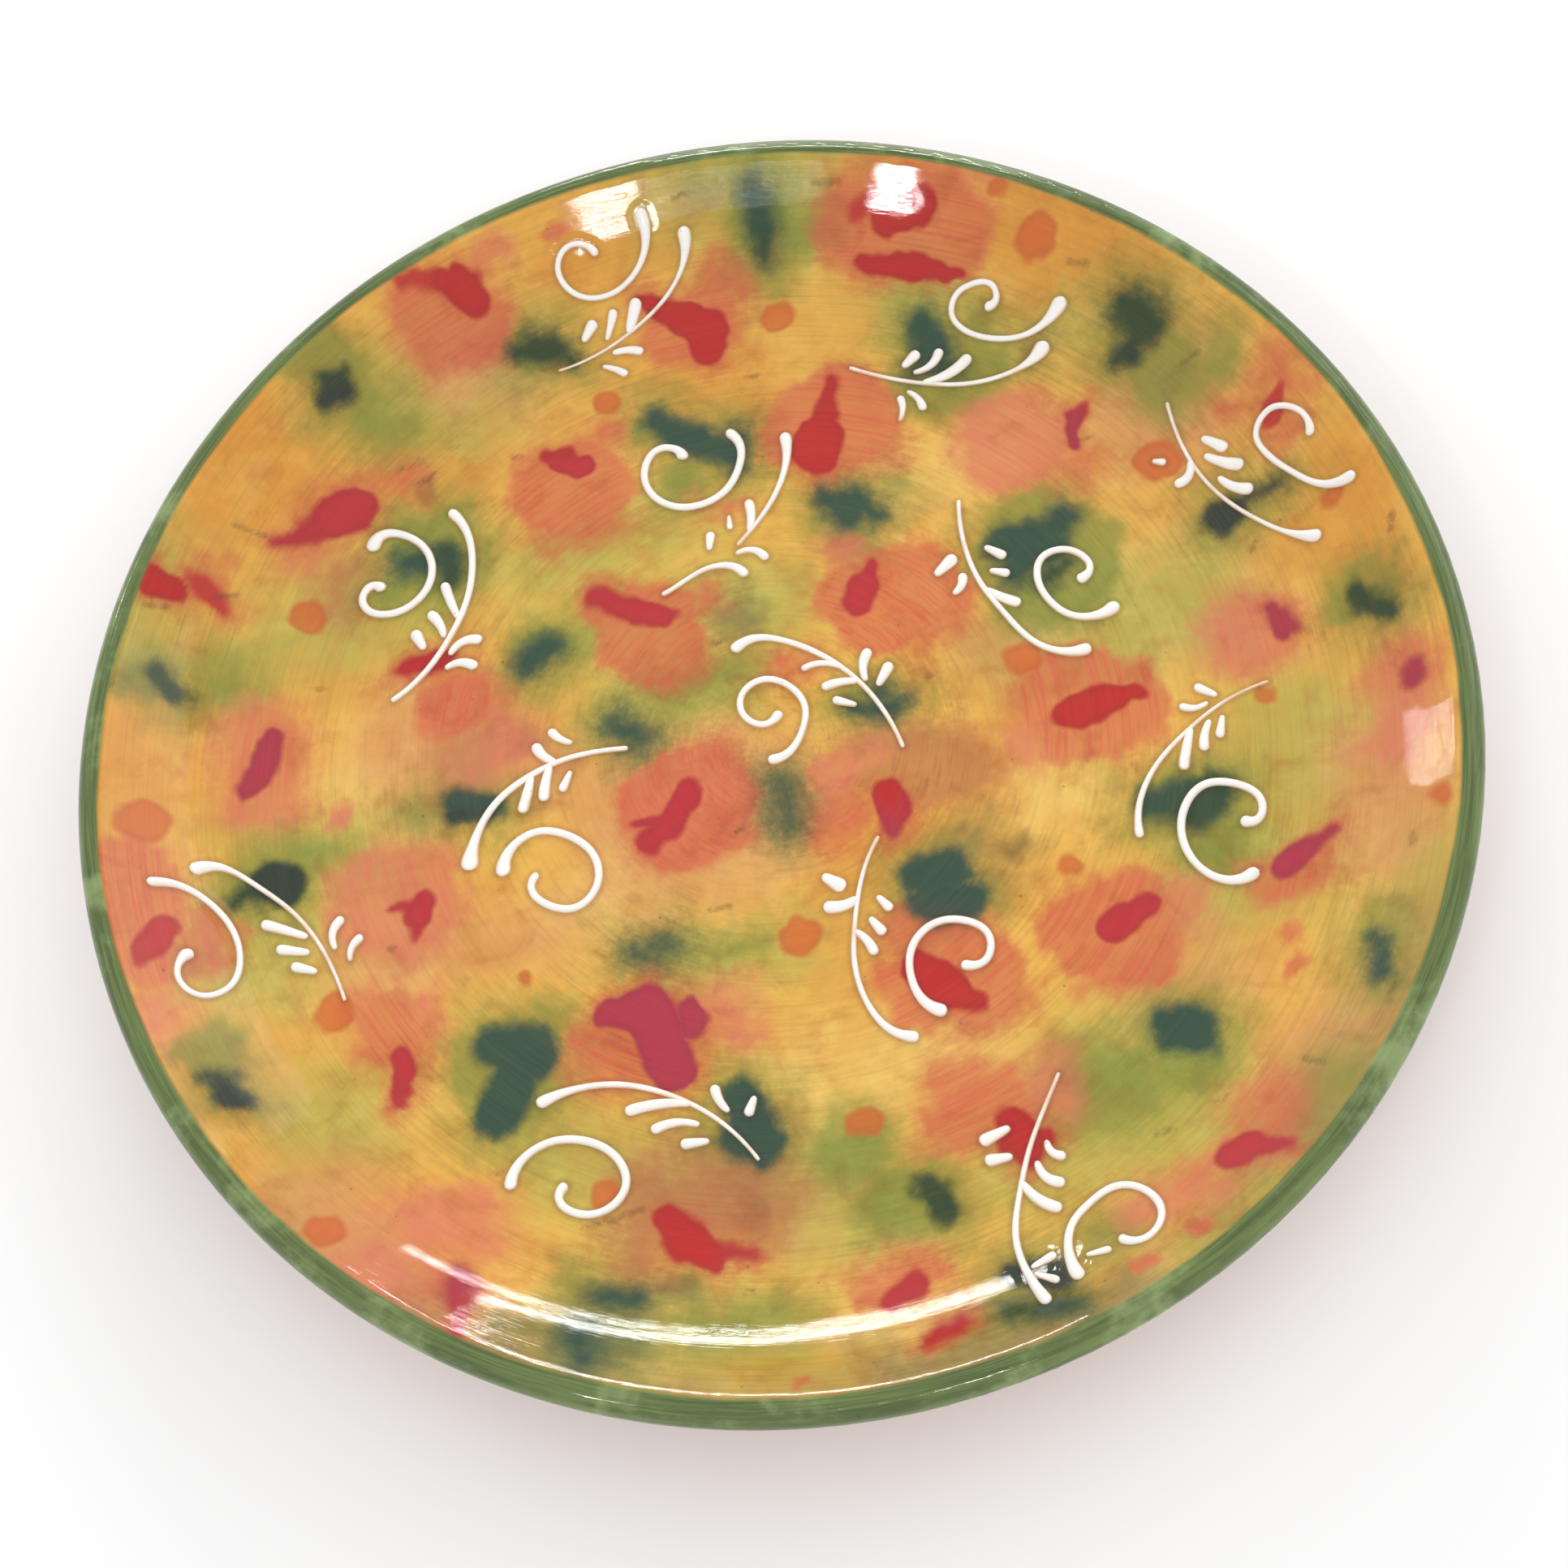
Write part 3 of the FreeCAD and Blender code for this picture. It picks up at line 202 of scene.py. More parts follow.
# Full strokes of colour with a clean edge: colour, softness, then x, y, width at each end.
CORES = (
    ("crimson", 1.2, -57, 138.4, 5, -49.5, 134.6, 8), ("crimson", 1, -53, 139, 5, -48.6, 137.4, 5),
    ("ember", 2, -66, 138, 4, -59, 138.4, 4), ("rose", 1.2, -89, 86.4, 12, -94, 84.8, 11),
    ("rose", 2, -98, 83, 7, -109, 79, 3), ("crimson", 1.2, -137, 68.2, 8, -133, 66.8, 7),
    ("ember", 2, -127, 70, 5, -124, 64, 5), ("rose", 1, -38, 89.4, 5, -31.6, 85.6, 7.4),
    ("crimson", 1.5, -40, 90.8, 4, -34, 91, 4), ("crimson", 1.1, 6.4, 117, 12, 6, 112, 10),
    ("crimson", 1.1, 3, 120, 10, -9, 129, 3.4), ("crimson", 1.1, 57, 131, 7, 66, 130, 8),
    ("ember", 2, 50, 134, 5, 60, 137, 5), ("crimson", 1.1, 49, 123.6, 4.4, 60, 118.6, 7),
    ("crimson", 1.1, 60, 118.6, 7, 71, 113.4, 4), ("crimson", 1.1, 26.4, 75, 13, 28.6, 80, 11),
    ("crimson", 1.5, 29, 82, 8, 34.4, 94, 4), ("magenta", 1.1, 89.4, 69, 5, 88.4, 61.4, 3.4),
    ("rose", 2, 91, 69.4, 5, 93.6, 71, 2), ("ember", 1.2, 137, 55.6, 2, 133.4, 50.6, 6),
    ("rose", 1.8, -34, 48, 6, -26, 43, 7), ("rose", 1.2, -26, 43, 7, -17.6, 38.6, 5),
    ("rose", 1.1, 27.6, 32.6, 9, 29.6, 36, 7.4), ("rose", 1.5, 30.6, 38, 5, 33.6, 40.6, 3.4),
    ("crimson", 1.6, -83, 40.6, 4, -76, 41, 6), ("crimson", 1.2, -76, 41, 6, -71, 42.2, 2.4),
    ("magenta", 1.4, -116.6, 29, 5.4, -120.6, 20, 7), ("magenta", 1.4, -120.6, 20, 7, -124.6, 16.6, 5),
    ("crimson", 1.1, -144, -18.6, 6.6, -146, -23, 6.6), ("crimson", 1.3, -146, -23, 6, -148.4, -28, 2),
    ("rose", 1.1, -87, -20.6, 6, -89.6, -24, 6), ("rose", 1.6, -91, -21, 3.4, -93.6, -20.4, 2.4),
    ("rose", 1.6, -89.6, -24, 5, -90.4, -29, 2.4), ("rose", 1.1, -22, -7.6, 7, -26, -14, 7),
    ("rose", 1.3, -26, -14, 7, -33.4, -18.4, 6), ("rose", 1.3, -30, -13.4, 3, -35, -13, 3),
    ("crimson", 1.1, 23.6, -20, 9, 24, -22.6, 8.4), ("magenta", 1.4, 24, -23, 8, 23, -28, 4.4),
    ("crimson", 1.1, 68, -9.6, 7, 74, -8.8, 9.4), ("crimson", 1.1, 76, -8, 9.4, 86, -7.6, 4.4),
    ("magenta", 1.4, 121, 4.6, 4, 122.4, -2, 5), ("magenta", 2, 123, 2, 4, 126, -2, 3),
    ("magenta", 2, 143.6, -26, 5, 145, -23, 4), ("rose", 1.1, -97, -56.6, 6, -96.6, -60.6, 6.4),
    ("rose", 1.6, -97, -62, 5.4, -98, -67.6, 3), ("magenta", 1.1, -50, -57, 6, -40, -58, 12),
    ("magenta", 1.1, -40, -59, 12, -37.6, -73, 11), ("magenta", 1.3, -31, -60, 6, -30.6, -64, 7),
    ("crimson", 1.1, 21, -62, 9, 25, -68, 11), ("crimson", 1.4, 27, -70, 10, 31, -73, 6),
    ("rose", 1.1, 65.6, -62.6, 8, 69, -61.6, 8), ("rose", 1.3, 69, -61.6, 8, 74.6, -59.8, 5.6),
    ("magenta", 1.3, 106.6, -58, 7, 111, -56.4, 7), ("magenta", 2, 112, -56, 5, 119, -53.6, 2.6),
    ("magenta", 3, -89.6, -111, 6, -89, -115, 7), ("rose", 2, -89, -117, 4.6, -88.4, -124, 3),
    ("crimson", 1.1, -44.6, -106, 7, -41, -112, 10), ("crimson", 1.3, -41, -112, 10, -36, -118, 6),
    ("rose", 3, -36, -116, 6, -28, -118, 3), ("crimson", 1.2, 33, -102, 8, 35, -108, 8),
    ("crimson", 1.5, 30, -106, 4, 39, -106, 5), ("rose", 1.8, -1, -134.6, 5, 4.6, -132.8, 7),
    ("rose", 2.4, 4, -145, 4, 12, -143.8, 4), ("rose", 1.2, 75, -122.4, 7, 79.6, -121, 7),
    ("rose", 1.6, 80, -121.6, 6, 86.6, -122.8, 2.4),
)
GREENS = (
    ("navy", 1.2, -91, 112.4, 5, -86.4, 115.2, 7), ("fir", 1.5, -89, 116.6, 5, -85, 119, 3),
    ("teal", 3, -80, 69.4, 8, -70, 68, 9), ("fir", 2, -69, 70, 8, -68.6, 63, 7),
    ("fir", 2, -42, 120.6, 6, -33, 121, 9), ("fir", 2.6, -36, 122, 8, -29, 117.6, 5),
    ("teal", 2, -11, 95, 7, -5, 88, 10), ("teal", 2, -5, 88, 10, 6, 80, 8), ("teal", 3, 8, 84, 7, 7, 77, 6),
    ("teal", 3, 25.6, 145, 7, 26, 138, 9), ("fir", 2, 25.6, 136, 6, 25, 131, 3.4),
    ("teal", 2.4, 60, 104, 9, 60.8, 95, 12), ("fir", 3, 56, 92, 7, 64, 90, 8),
    ("fir", 2.6, 108, 90, 9, 112, 84, 11), ("fir", 2, 104, 80, 6, 110, 82, 7),
    ("navy", 1.6, 106.6, 80.6, 6, 107.4, 78.6, 6),
    ("fir", 1.6, -138.4, 45.4, 5.4, -136.6, 41, 6), ("teal", 2.4, -53.6, 34.4, 8, -48, 37.8, 8.6),
    ("teal", 2.4, 26, 62, 7, 30, 57, 11), ("teal", 3, 32, 60, 8, 37, 54, 6),
    ("teal", 2, 66, 38, 12, 74, 36, 14), ("teal", 2.4, 66, 30, 9, 80, 42, 9),
    ("fir", 3, 72, 26, 7, 78, 30, 6),
    ("navy", 1.4, 117, 31.6, 9, 120.6, 32.6, 8), ("navy", 3, 122, 33.4, 4, 131, 35, 3),
    ("teal", 1.6, -75.6, 3, 7.4, -68.6, -0.6, 8), ("navy", 1.4, -77, 0, 5, -70, -1.6, 5),
    ("teal", 4, -35, 13, 7, -30.6, 9, 7), ("teal", 2.4, 19.6, 4, 4, 29, 2, 7),
    ("teal", 3, 27, 6.6, 5, 33, 4, 3),
    ("fir", 1.4, 140, 1, 5, 141.6, -4, 6), ("fir", 1.4, 141.6, -4, 6, 144, -8.6, 4),
    ("navy", 1.1, -120.6, -7.6, 10.4, -118.6, -9, 10.4), ("fir", 2, -124, -10, 6, -129, -12.6, 4),
    ("teal", 6, -1, -12, 6, -0.4, -20, 6), ("teal", 5, -41, -43.6, 5, -33, -44.6, 5),
    ("teal", 1.6, 25.6, -41, 10, 34.6, -41, 10), ("teal", 1.6, 27, -48, 10, 35, -49, 10),
    ("teal", 2, 81, -35.6, 8, 93, -37.6, 12), ("fir", 2, 90, -40, 10, 97, -36, 9),
    ("navy", 1.2, -134.6, -58, 5, -131.6, -62.6, 6.6), ("fir", 2, -137, -57, 4, -132, -57.6, 4),
    ("teal", 1.5, -76, -59, 10, -67.6, -62, 13), ("teal", 1.5, -72, -66, 11, -77.6, -75, 11),
    ("teal", 1.4, -23.6, -84, 11, -22, -93, 12), ("teal", 1.6, -27.6, -92, 7, -22, -98, 5),
    ("fir", 1.4, 11.6, -110.6, 5, 13.8, -117.6, 7), ("fir", 1.6, 8.8, -112, 2.4, 13, -114, 6),
    ("teal", 1.6, 72, -87, 8, 77, -90, 11), ("teal", 1.8, 72, -92, 8, 77.6, -94, 7),
    ("teal", 2, 117.8, -82, 4, 115.6, -91, 5), ("teal", 3.4, -66, -129, 7, -64, -135, 7),
    ("teal", 2.4, -60.6, -120.8, 6, -54, -122.4, 6.4), ("navy", 1.6, 25, -136, 6, 33.6, -138, 7.4),
    ("teal", 3, 22, -144, 6, 35, -145.4, 6),
)
# Small dots of one colour: x, y, width, height.
DOTS = (
    (-104.2, 59.5, 9, 9), (24.4, 116, 9.4, 8.6), (-21.7, 103, 6.4, 7.6), (92, 113, 11, 9), (107, 51, 12, 10),
    (-146, 8.5, 11, 11), (62, 7, 10, 8.6), (114.4, -16, 5, 5), (140.7, 25.5, 6, 5), (-110.5, -43, 10, 10),
    (-67, -44.5, 3, 4.2), (-3.2, -49, 9.4, 9.4), (60, -46.4, 6, 5), (140, -55.6, 4.4, 5.4),
    (-114.4, -96.6, 8.6, 6.6), (-57, -98, 7, 7), (1.5, -94.7, 8.8, 6), (85, 126, 5, 4),
)
# Small brown smudges: x, y, length, tilt.
SMUDGES = (
    (-74, 96, 8, 20), (-70, 92, 7, 24), (-47, 93, 3, 0), (-62, 99, 3, 0), (15, 101, 4, 0), (97, -106, 6, -40),
    (77, -108, 5, 10), (132, -63, 4, 70), (116, -97, 6, 60), (-59, -104, 9, 0), (-52, -103, 6, 6),
    (-114, 82, 8, -20), (-137, 62, 5, 0), (128, 96, 6, -48), (118, 108, 5, -40), (108, 112, 6, -20),
    (136, 82, 7, -56), (142, 70, 6, -60), (112, 79, 6, 10), (120, 72, 5, 10), (-149, 42, 4, 60),
    (122, 22, 4, 60), (150, 12, 5, 70), (-12, -20, 3, 30), (60, 36, 4, 0), (-20, -38, 6, 0),
    (-34, 116, 7, 10),
    (8, 148, 6, 0), (44, 142, 8, -12), (100, 104, 6, -30), (-122, 66, 6, 10), (-8, 29, 4, 0),
    (-80, -88, 4, 0),
    (-96, -30, 3, 0), (40, 8, 3, 0), (92, 62, 3, 0), (-30, -126, 3, 0), (64, -112, 5, 12), (-104, 40, 3, 0),
)


def to_capsule(x, y, width, height, tilt):
    """An oval as a round-ended stroke: x, y and width at each end."""
    reach = abs(width - height) / 2
    turn = math.radians(tilt) + (0 if width >= height else math.pi / 2)
    across = min(width, height)
    dx, dy = reach * math.cos(turn), reach * math.sin(turn)
    return (x - dx, y - dy, across, x + dx, y + dy, across)


def inside_by(places, capsule):
    """How far inside a tapered stroke each place is, in millimetres; negative outside."""
    x0, y0, w0, x1, y1, w1 = capsule
    start, run = np.array((x0, y0)), np.array((x1 - x0, y1 - y0))
    span = max(float(run @ run), 1e-6)
    share = np.clip((places - start) @ run / span, 0, 1)
    gap = np.linalg.norm(places - start - share[:, None] * run, axis=1)
    return (w0 + (w1 - w0) * share) / 2 - gap


WAVES = 14               # sine waves in one ripple
SHORTEST, LONGEST = 0.6, 1.7     # their lengths, as shares of the ripple's size
USUAL_PEAK = 3.8         # what the sum of the waves usually reaches


def ripple(places, size, seed):
    """Smooth hand-made unevenness, about -1 to 1, with waves of about the given size."""
    rng = np.random.default_rng(seed)
    total = np.zeros(len(places))
    for _ in range(WAVES):
        angle, phase = rng.uniform(0, 2 * math.pi, 2)
        pitch = 2 * math.pi / (size * rng.uniform(SHORTEST, LONGEST))
        total += np.sin(places @ (pitch * np.array((math.cos(angle), math.sin(angle)))) + phase)
    return total / USUAL_PEAK


def ovals(rows):
    """Rows of oval dabs as strokes for lay()."""
    return [(row[0], row[1], to_capsule(*row[2:])) for row in rows]


def tapered(rows, softer=1.0):
    """Rows of tapered strokes as strokes for lay()."""
    return [(row[0], row[1] * softer, row[2:]) for row in rows]


def bled(rows, name, wider):
    """The soft stain that full strokes leave round them in the wash below."""
    return [(name, 1.5 + wider / 2, (x0, y0, w0 + wider, x1, y1, w1 + wider))
            for _, _, x0, y0, w0, x1, y1, w1 in rows]


FAR_OUT = -40.0          # a depth that no stroke reaches
MINGLE = 1.2             # how sharply the deepest stroke's colour wins where strokes cross


def lay(places, strokes):
    """Depth and colour of a layer of strokes: (colour, softness, capsule) each."""
    weights = np.zeros(len(places))
    colour = np.zeros((len(places), 3))
    best = np.full(len(places), FAR_OUT)
    for name, softness, capsule in strokes:
        depth = inside_by(places, capsule) / softness
        best = np.maximum(best, depth)
        pull = np.exp(np.clip(depth * MINGLE, -60, 5))
        weights += pull
        colour += pull[:, None] * np.array(linear(*COLOURS[name]))
    return np.clip(best, -8, 8), colour / np.maximum(weights, 1e-30)[:, None]


# ---------------------------------------------------------------- the painted face

FACE_STEPS = 148         # quads from the middle to the edge
HAND_SWELL, HAND_DIMPLE = 0.05, 0.012    # unevenness of the thrown face
STILL_EDGE = 6.0         # strip at the edge over which the unevenness dies out


def face_piece():
    """The painted face as a disc of even quads, with the painting stored on its points."""
    side = 2 * FACE_STEPS + 1
    grid = (np.arange(side) - FACE_STEPS) / FACE_STEPS
    a, b = np.meshgrid(grid, grid)
    a, b = a.ravel(), b.ravel()
    ring = np.maximum(abs(a), abs(b))
    wide = abs(a) >= abs(b)
    safe_a, safe_b = np.where(a == 0, 1, a), np.where(b == 0, 1, b)
    angle = np.where(wide, math.pi / 4 * b / safe_a + np.where(a < 0, math.pi, 0),
                     math.pi / 2 - math.pi / 4 * a / safe_b + np.where(b < 0, math.pi, 0))
    radius, height = face_profile(ring * FACE_LENGTH)
    places = np.stack((radius * np.cos(angle), radius * np.sin(angle)), 1)
    fade = np.clip((FACE_LENGTH - ring * FACE_LENGTH) / STILL_EDGE, 0, 1)
    height = height + fade * (HAND_SWELL * ripple(places, 46, 3) + HAND_DIMPLE * ripple(places, 15, 4))
    points = np.column_stack((places, height)) * MM
    index = np.arange(side * side).reshape(side, side)
    quads = np.stack((index[:-1, :-1], index[:-1, 1:], index[1:, 1:], index[1:, :-1]), -1).reshape(-1, 4)
    edge = np.concatenate((index[0, :-1], index[:-1, -1], index[-1, :0:-1], index[:0:-1, 0]))
    hem = points[edge] - np.column_stack((np.cos(angle[edge]) * math.cos(BAND_START),
                                          np.sin(angle[edge]) * math.cos(BAND_START),
                                          np.full(len(edge), math.sin(BAND_START)))) * GLAZE * MM
    below = len(points) + np.arange(len(edge))
    rim = np.stack((np.roll(edge, -1), edge, below, np.roll(below, -1)), -1)
    mesh = bpy.data.meshes.new("painted_face")
    mesh.from_pydata(np.vstack((points, hem)).tolist(), [], np.vstack((quads, rim)).tolist())
    mesh.shade_smooth()
    piece = bpy.data.objects.new("painted_face", mesh)
    bpy.context.scene.collection.objects.link(piece)
    paint_face(mesh, np.vstack((places, places[edge])))
    return piece


def store(mesh, name, values):
    """Keep a number or a colour on each point of a mesh."""
    if values.ndim == 1:
        mesh.attributes.new(name, "FLOAT", "POINT").data.foreach_set("value", values.astype(np.float32))
    else:
        full = np.column_stack((values, np.ones(len(values)))).astype(np.float32)
        mesh.attributes.new(name, "FLOAT_COLOR", "POINT").data.foreach_set("color", full.ravel())


GROUND_COVER = 0.85      # how far a ground covers the ones below it
GROUND_EDGE, GROUND_WANDER = 3.2, 1.2    # how wide the edge of a ground is, and how far it wanders
LOOSE_SWAY, LOOSE_SHAKE = 1.5, 0.6       # how far the hand moves the edges of the soft washes
FIRM_SWAY, FIRM_SHAKE = 0.5, 0.35        # and those of the full strokes
SMUDGE_WIDTH = 1.2
SLIP_STEP = 9            # every ninth point of the slip is enough to find how near it is
NEAR_SLIP = 20.0         # distances to the slip are kept up to here


def ground_colours(places, loose):
    """The soft grounds, laid one over the other."""
    ground = np.tile(np.array(linear(*COLOURS["honey"])), (len(places), 1))
    for number, (name, x, y, width, height, tilt) in enumerate(GROUNDS):
        depth = inside_by(loose, to_capsule(x, y, width, height, tilt))
        wander = GROUND_WANDER * ripple(places, 9, 40 + number % 7)
        cover = 1 / (1 + np.exp(-(depth + wander) / GROUND_EDGE))
        ground += (GROUND_COVER * cover)[:, None] * (np.array(linear(*COLOURS[name])) - ground)
    return ground


def smudge_depths(places):
    """How far inside a brown smudge each place is."""
    depth = np.full(len(places), FAR_OUT)
    for x, y, length, tilt in SMUDGES:
        depth = np.maximum(depth, inside_by(places, to_capsule(x, y, length, SMUDGE_WIDTH, tilt)))
    return np.clip(depth, -12, 2)


def slip_gaps(mesh):
    """Distance from each point of a mesh to the nearest slip."""
    slip = [v.co for name, node in frame["nodes"].items() if name.startswith("scroll_")
            for v in list(node.data.vertices)[::SLIP_STEP]]
    tree = kdtree.KDTree(len(slip))
    for number, spot in enumerate(slip):
        tree.insert(spot, number)
    tree.balance()
    gaps = [tree.find(vertex.co)[2] / MM for vertex in mesh.vertices]
    return np.clip(np.array(gaps), 0, NEAR_SLIP)


def paint_face(mesh, places):
    """Lay the grounds, washes, strokes and dots on the face's points."""
    sway = np.column_stack((ripple(places, 17, 5), ripple(places, 17, 6)))
    shake = np.column_stack((ripple(places, 5.5, 7), ripple(places, 5.5, 8)))
    loose = places + LOOSE_SWAY * sway + LOOSE_SHAKE * shake
    firm = places + FIRM_SWAY * sway + FIRM_SHAKE * shake
    store(mesh, "ground", ground_colours(places, loose))
    dots = [("tangerine", 0.9, to_capsule(*dot, 0)) for dot in DOTS]
    layers = (("wash", loose, ovals(WASHES) + bled(CORES, "brick", 4)),
              ("leaf", loose, ovals(LEAF_WASHES) + bled(GREENS, "olive", 10) + bled(GREENS, "moss", 4)),
              ("dot", firm, dots),
              ("green", firm, tapered(GREENS, 1.3)),
              ("core", firm, tapered(CORES)))
    for name, where, strokes in layers:
        cover, colour = lay(where, strokes)
        store(mesh, name + "_cover", cover)
        store(mesh, name + "_colour", colour)
    store(mesh, "smudge", smudge_depths(places))
    store(mesh, "slip_gap", slip_gaps(mesh))


# ---------------------------------------------------------------- nodes


class Wires:
    """Short ways to add and join the nodes of one material or group."""

    def __init__(self, tree):
        self.tree = tree

    def node(self, kind, settings=None, **inputs):
        """A new node with its settings and inputs."""
        made = self.tree.nodes.new(kind)
        for key, value in (settings or {}).items():
            setattr(made, key, value)
        for key, value in inputs.items():
            self.put(made.inputs[key.replace("_", " ")], value)
        return made

    def put(self, socket, value):
        """Join a socket to another one, or set its value."""
        if isinstance(value, bpy.types.NodeSocket):
            self.tree.links.new(value, socket)
        else:
            socket.default_value = value

    def math(self, operation, *values):
        """The result of a sum on numbers or sockets."""
        made = self.node("ShaderNodeMath", {"operation": operation})
        for socket, value in zip(made.inputs, values):
            self.put(socket, value)
        return made.outputs[0]

    def spread(self, value, low, high, out_low=0.0, out_high=1.0):
        """A smooth step from one number to another while a value goes from low to high."""
        made = self.node("ShaderNodeMapRange", {"interpolation_type": "SMOOTHSTEP"})
        for socket, number in zip(made.inputs, (value, low, high, out_low, out_high)):
            self.put(socket, number)
        return made.outputs[0]

    def mix(self, share, below, above, blend="MIX"):
        """One colour laid over another by a share."""
        made = self.node("ShaderNodeMix", {"data_type": "RGBA", "blend_type": blend})
        for socket, value in zip((made.inputs[0], made.inputs[6], made.inputs[7]), (share, below, above)):
            if isinstance(value, tuple) and len(value) == 3:
                value = (*value, 1.0)
            self.put(socket, value)
        return made.outputs[2]

    def noise(self, vector, scale, detail=3.0, roughness=0.55, distortion=0.0):
        """Smooth noise about one half."""
        made = self.node("ShaderNodeTexNoise", Vector=vector, Scale=scale, Detail=detail,
                         Roughness=roughness, Distortion=distortion)
        return made.outputs["Fac"]

    def stored(self, name, colour=False):
        """A number or a colour kept on the points of the mesh."""
        made = self.node("ShaderNodeAttribute", {"attribute_name": name})
        return made.outputs["Color" if colour else "Fac"]

    def place(self):
        """The place on the piece, in metres."""
        return self.node("ShaderNodeTexCoord").outputs["Object"]

    def sides(self):
        """The place's x, y and z."""
        return self.node("ShaderNodeSeparateXYZ", Vector=self.place()).outputs

    def from_axis(self, x, y):
        """Distance from the plate's axis."""
        return self.math("SQRT", self.math("ADD", self.math("MULTIPLY", x, x), self.math("MULTIPLY", y, y)))

    def swing(self, value, strength):
        """A value about one half, moved to swing about nothing and made stronger or weaker."""
        return self.math("MULTIPLY", self.math("SUBTRACT", value, 0.5), strength)

    def use(self, group, **inputs):
        """The output of a node group with its inputs set."""
        made = self.node("ShaderNodeGroup", {"node_tree": group})
        for key, value in inputs.items():
            self.put(made.inputs[key.replace("_", " ").capitalize()], value)
        return made.outputs[0]


def effect(name, inputs, output, build):
    """A shader node group with named number inputs and one named output."""
    tree = bpy.data.node_groups.new(name, "ShaderNodeTree")
    for label, value in inputs:
        tree.interface.new_socket(label, in_out="INPUT", socket_type="NodeSocketFloat").default_value = value
    tree.interface.new_socket(output, in_out="OUTPUT", socket_type="NodeSocketFloat")
    wires = Wires(tree)
    given = tree.nodes.new("NodeGroupInput")
    result = build(wires, given.outputs)
    tree.links.new(result, tree.nodes.new("NodeGroupOutput").inputs[0])
    return tree


MIDDLE = 0.004           # nearer the axis than this the wheel's lines don't narrow any more


def wheel_marks(wires, given):
    """Fine lines round the plate's axis, broken up along their length."""
    x, y, z = wires.sides()
    across = wires.from_axis(x, y)
    safe = wires.math("MAXIMUM", across, MIDDLE)
    run = given["Run"]
    around = [wires.math("MULTIPLY", wires.math("DIVIDE", side, safe), run) for side in (x, y)]
    out = wires.math("MULTIPLY", wires.math("ADD", across, z), given["Lines"])
    spot = wires.node("ShaderNodeCombineXYZ", X=around[0], Y=around[1], Z=out)
    return wires.noise(spot.outputs[0], 1.0, 4.0, 0.7)


def fired_specks(wires, given):
    """Small dark specks of iron, sparse and of uneven size."""
    cells = wires.node("ShaderNodeTexVoronoi", {"feature": "F1"}, Vector=wires.place(), Scale=given["Scale"])
    size = wires.noise(wires.place(), 90.0, 2.0)
    reach = wires.math("MULTIPLY", wires.spread(size, 0.45, 0.75), given["Size"])
    return wires.spread(wires.math("SUBTRACT", reach, cells.outputs["Distance"]), 0.0, 0.05)


def pooling(wires, given):
    """Uneven thickness of a glaze: broad clouds with a finer break-up."""
    place = wires.place()
    broad = wires.noise(place, given["Scale"], 3.0, 0.5, 0.6)
    fine = wires.noise(place, wires.math("MULTIPLY", given["Scale"], 6.0), 4.0, 0.6)
    return wires.math("ADD", wires.math("MULTIPLY", broad, 0.7), wires.math("MULTIPLY", fine, 0.3))


WHEEL_MARKS = effect("wheel_marks", (("Run", 3.0), ("Lines", 900.0)), "Line", wheel_marks)
FIRED_SPECKS = effect("fired_specks", (("Scale", 160.0), ("Size", 0.2)), "Speck", fired_specks)
POOLING = effect("glaze_pooling", (("Scale", 40.0),), "Thickness", pooling)


def material(name, roughness, coat=0.0, coat_roughness=0.05, ior=1.5):
    """A material with its Principled shader, and short ways to wire it."""
    made = bpy.data.materials.new(name)
    made.use_nodes = True
    shader = made.node_tree.nodes["Principled BSDF"]
    shader.inputs["Roughness"].default_value = roughness
    shader.inputs["Coat Weight"].default_value = coat
    shader.inputs["Coat Roughness"].default_value = coat_roughness
    shader.inputs["IOR"].default_value = ior
    return made, Wires(made.node_tree), shader


def raise_surface(wires, shader, height, strength, distance):
    """Fine relief from a height."""
    bump = wires.node("ShaderNodeBump", Strength=strength, Distance=distance, Height=height)
    wires.put(shader.inputs["Normal"], bump.outputs[0])


GREEN_FROM, GREEN_FULL = 0.1538, 0.1549      # distance from the axis where the rim's green sets in
THIN_SLIP, FULL_SLIP = 0.0001, 0.00062       # slip thinner than this lets the colours below through
CLAY_LOW, CLAY_HIGH = 0.0283, 0.0296         # heights between which the clay shows through the green
RIM_DARK, RIM_MID, RIM_PALE = linear(76, 92, 46), linear(108, 128, 68), linear(146, 166, 108)
SLIP_WHITE, SLIP_WARM = linear(250, 248, 243), linear(226, 184, 140)


def rim_colour(wires):
    """Sage green, streaked along the rim and paler where it runs thin."""
    streak = wires.use(WHEEL_MARKS, run=5.0, lines=1500.0)
    cloud = wires.use(POOLING, scale=38.0)
    tone = wires.mix(wires.spread(streak, 0.35, 0.68), RIM_DARK, RIM_MID)
    return wires.mix(wires.spread(cloud, 0.5, 0.68, 0.0, 0.75), tone, RIM_PALE)


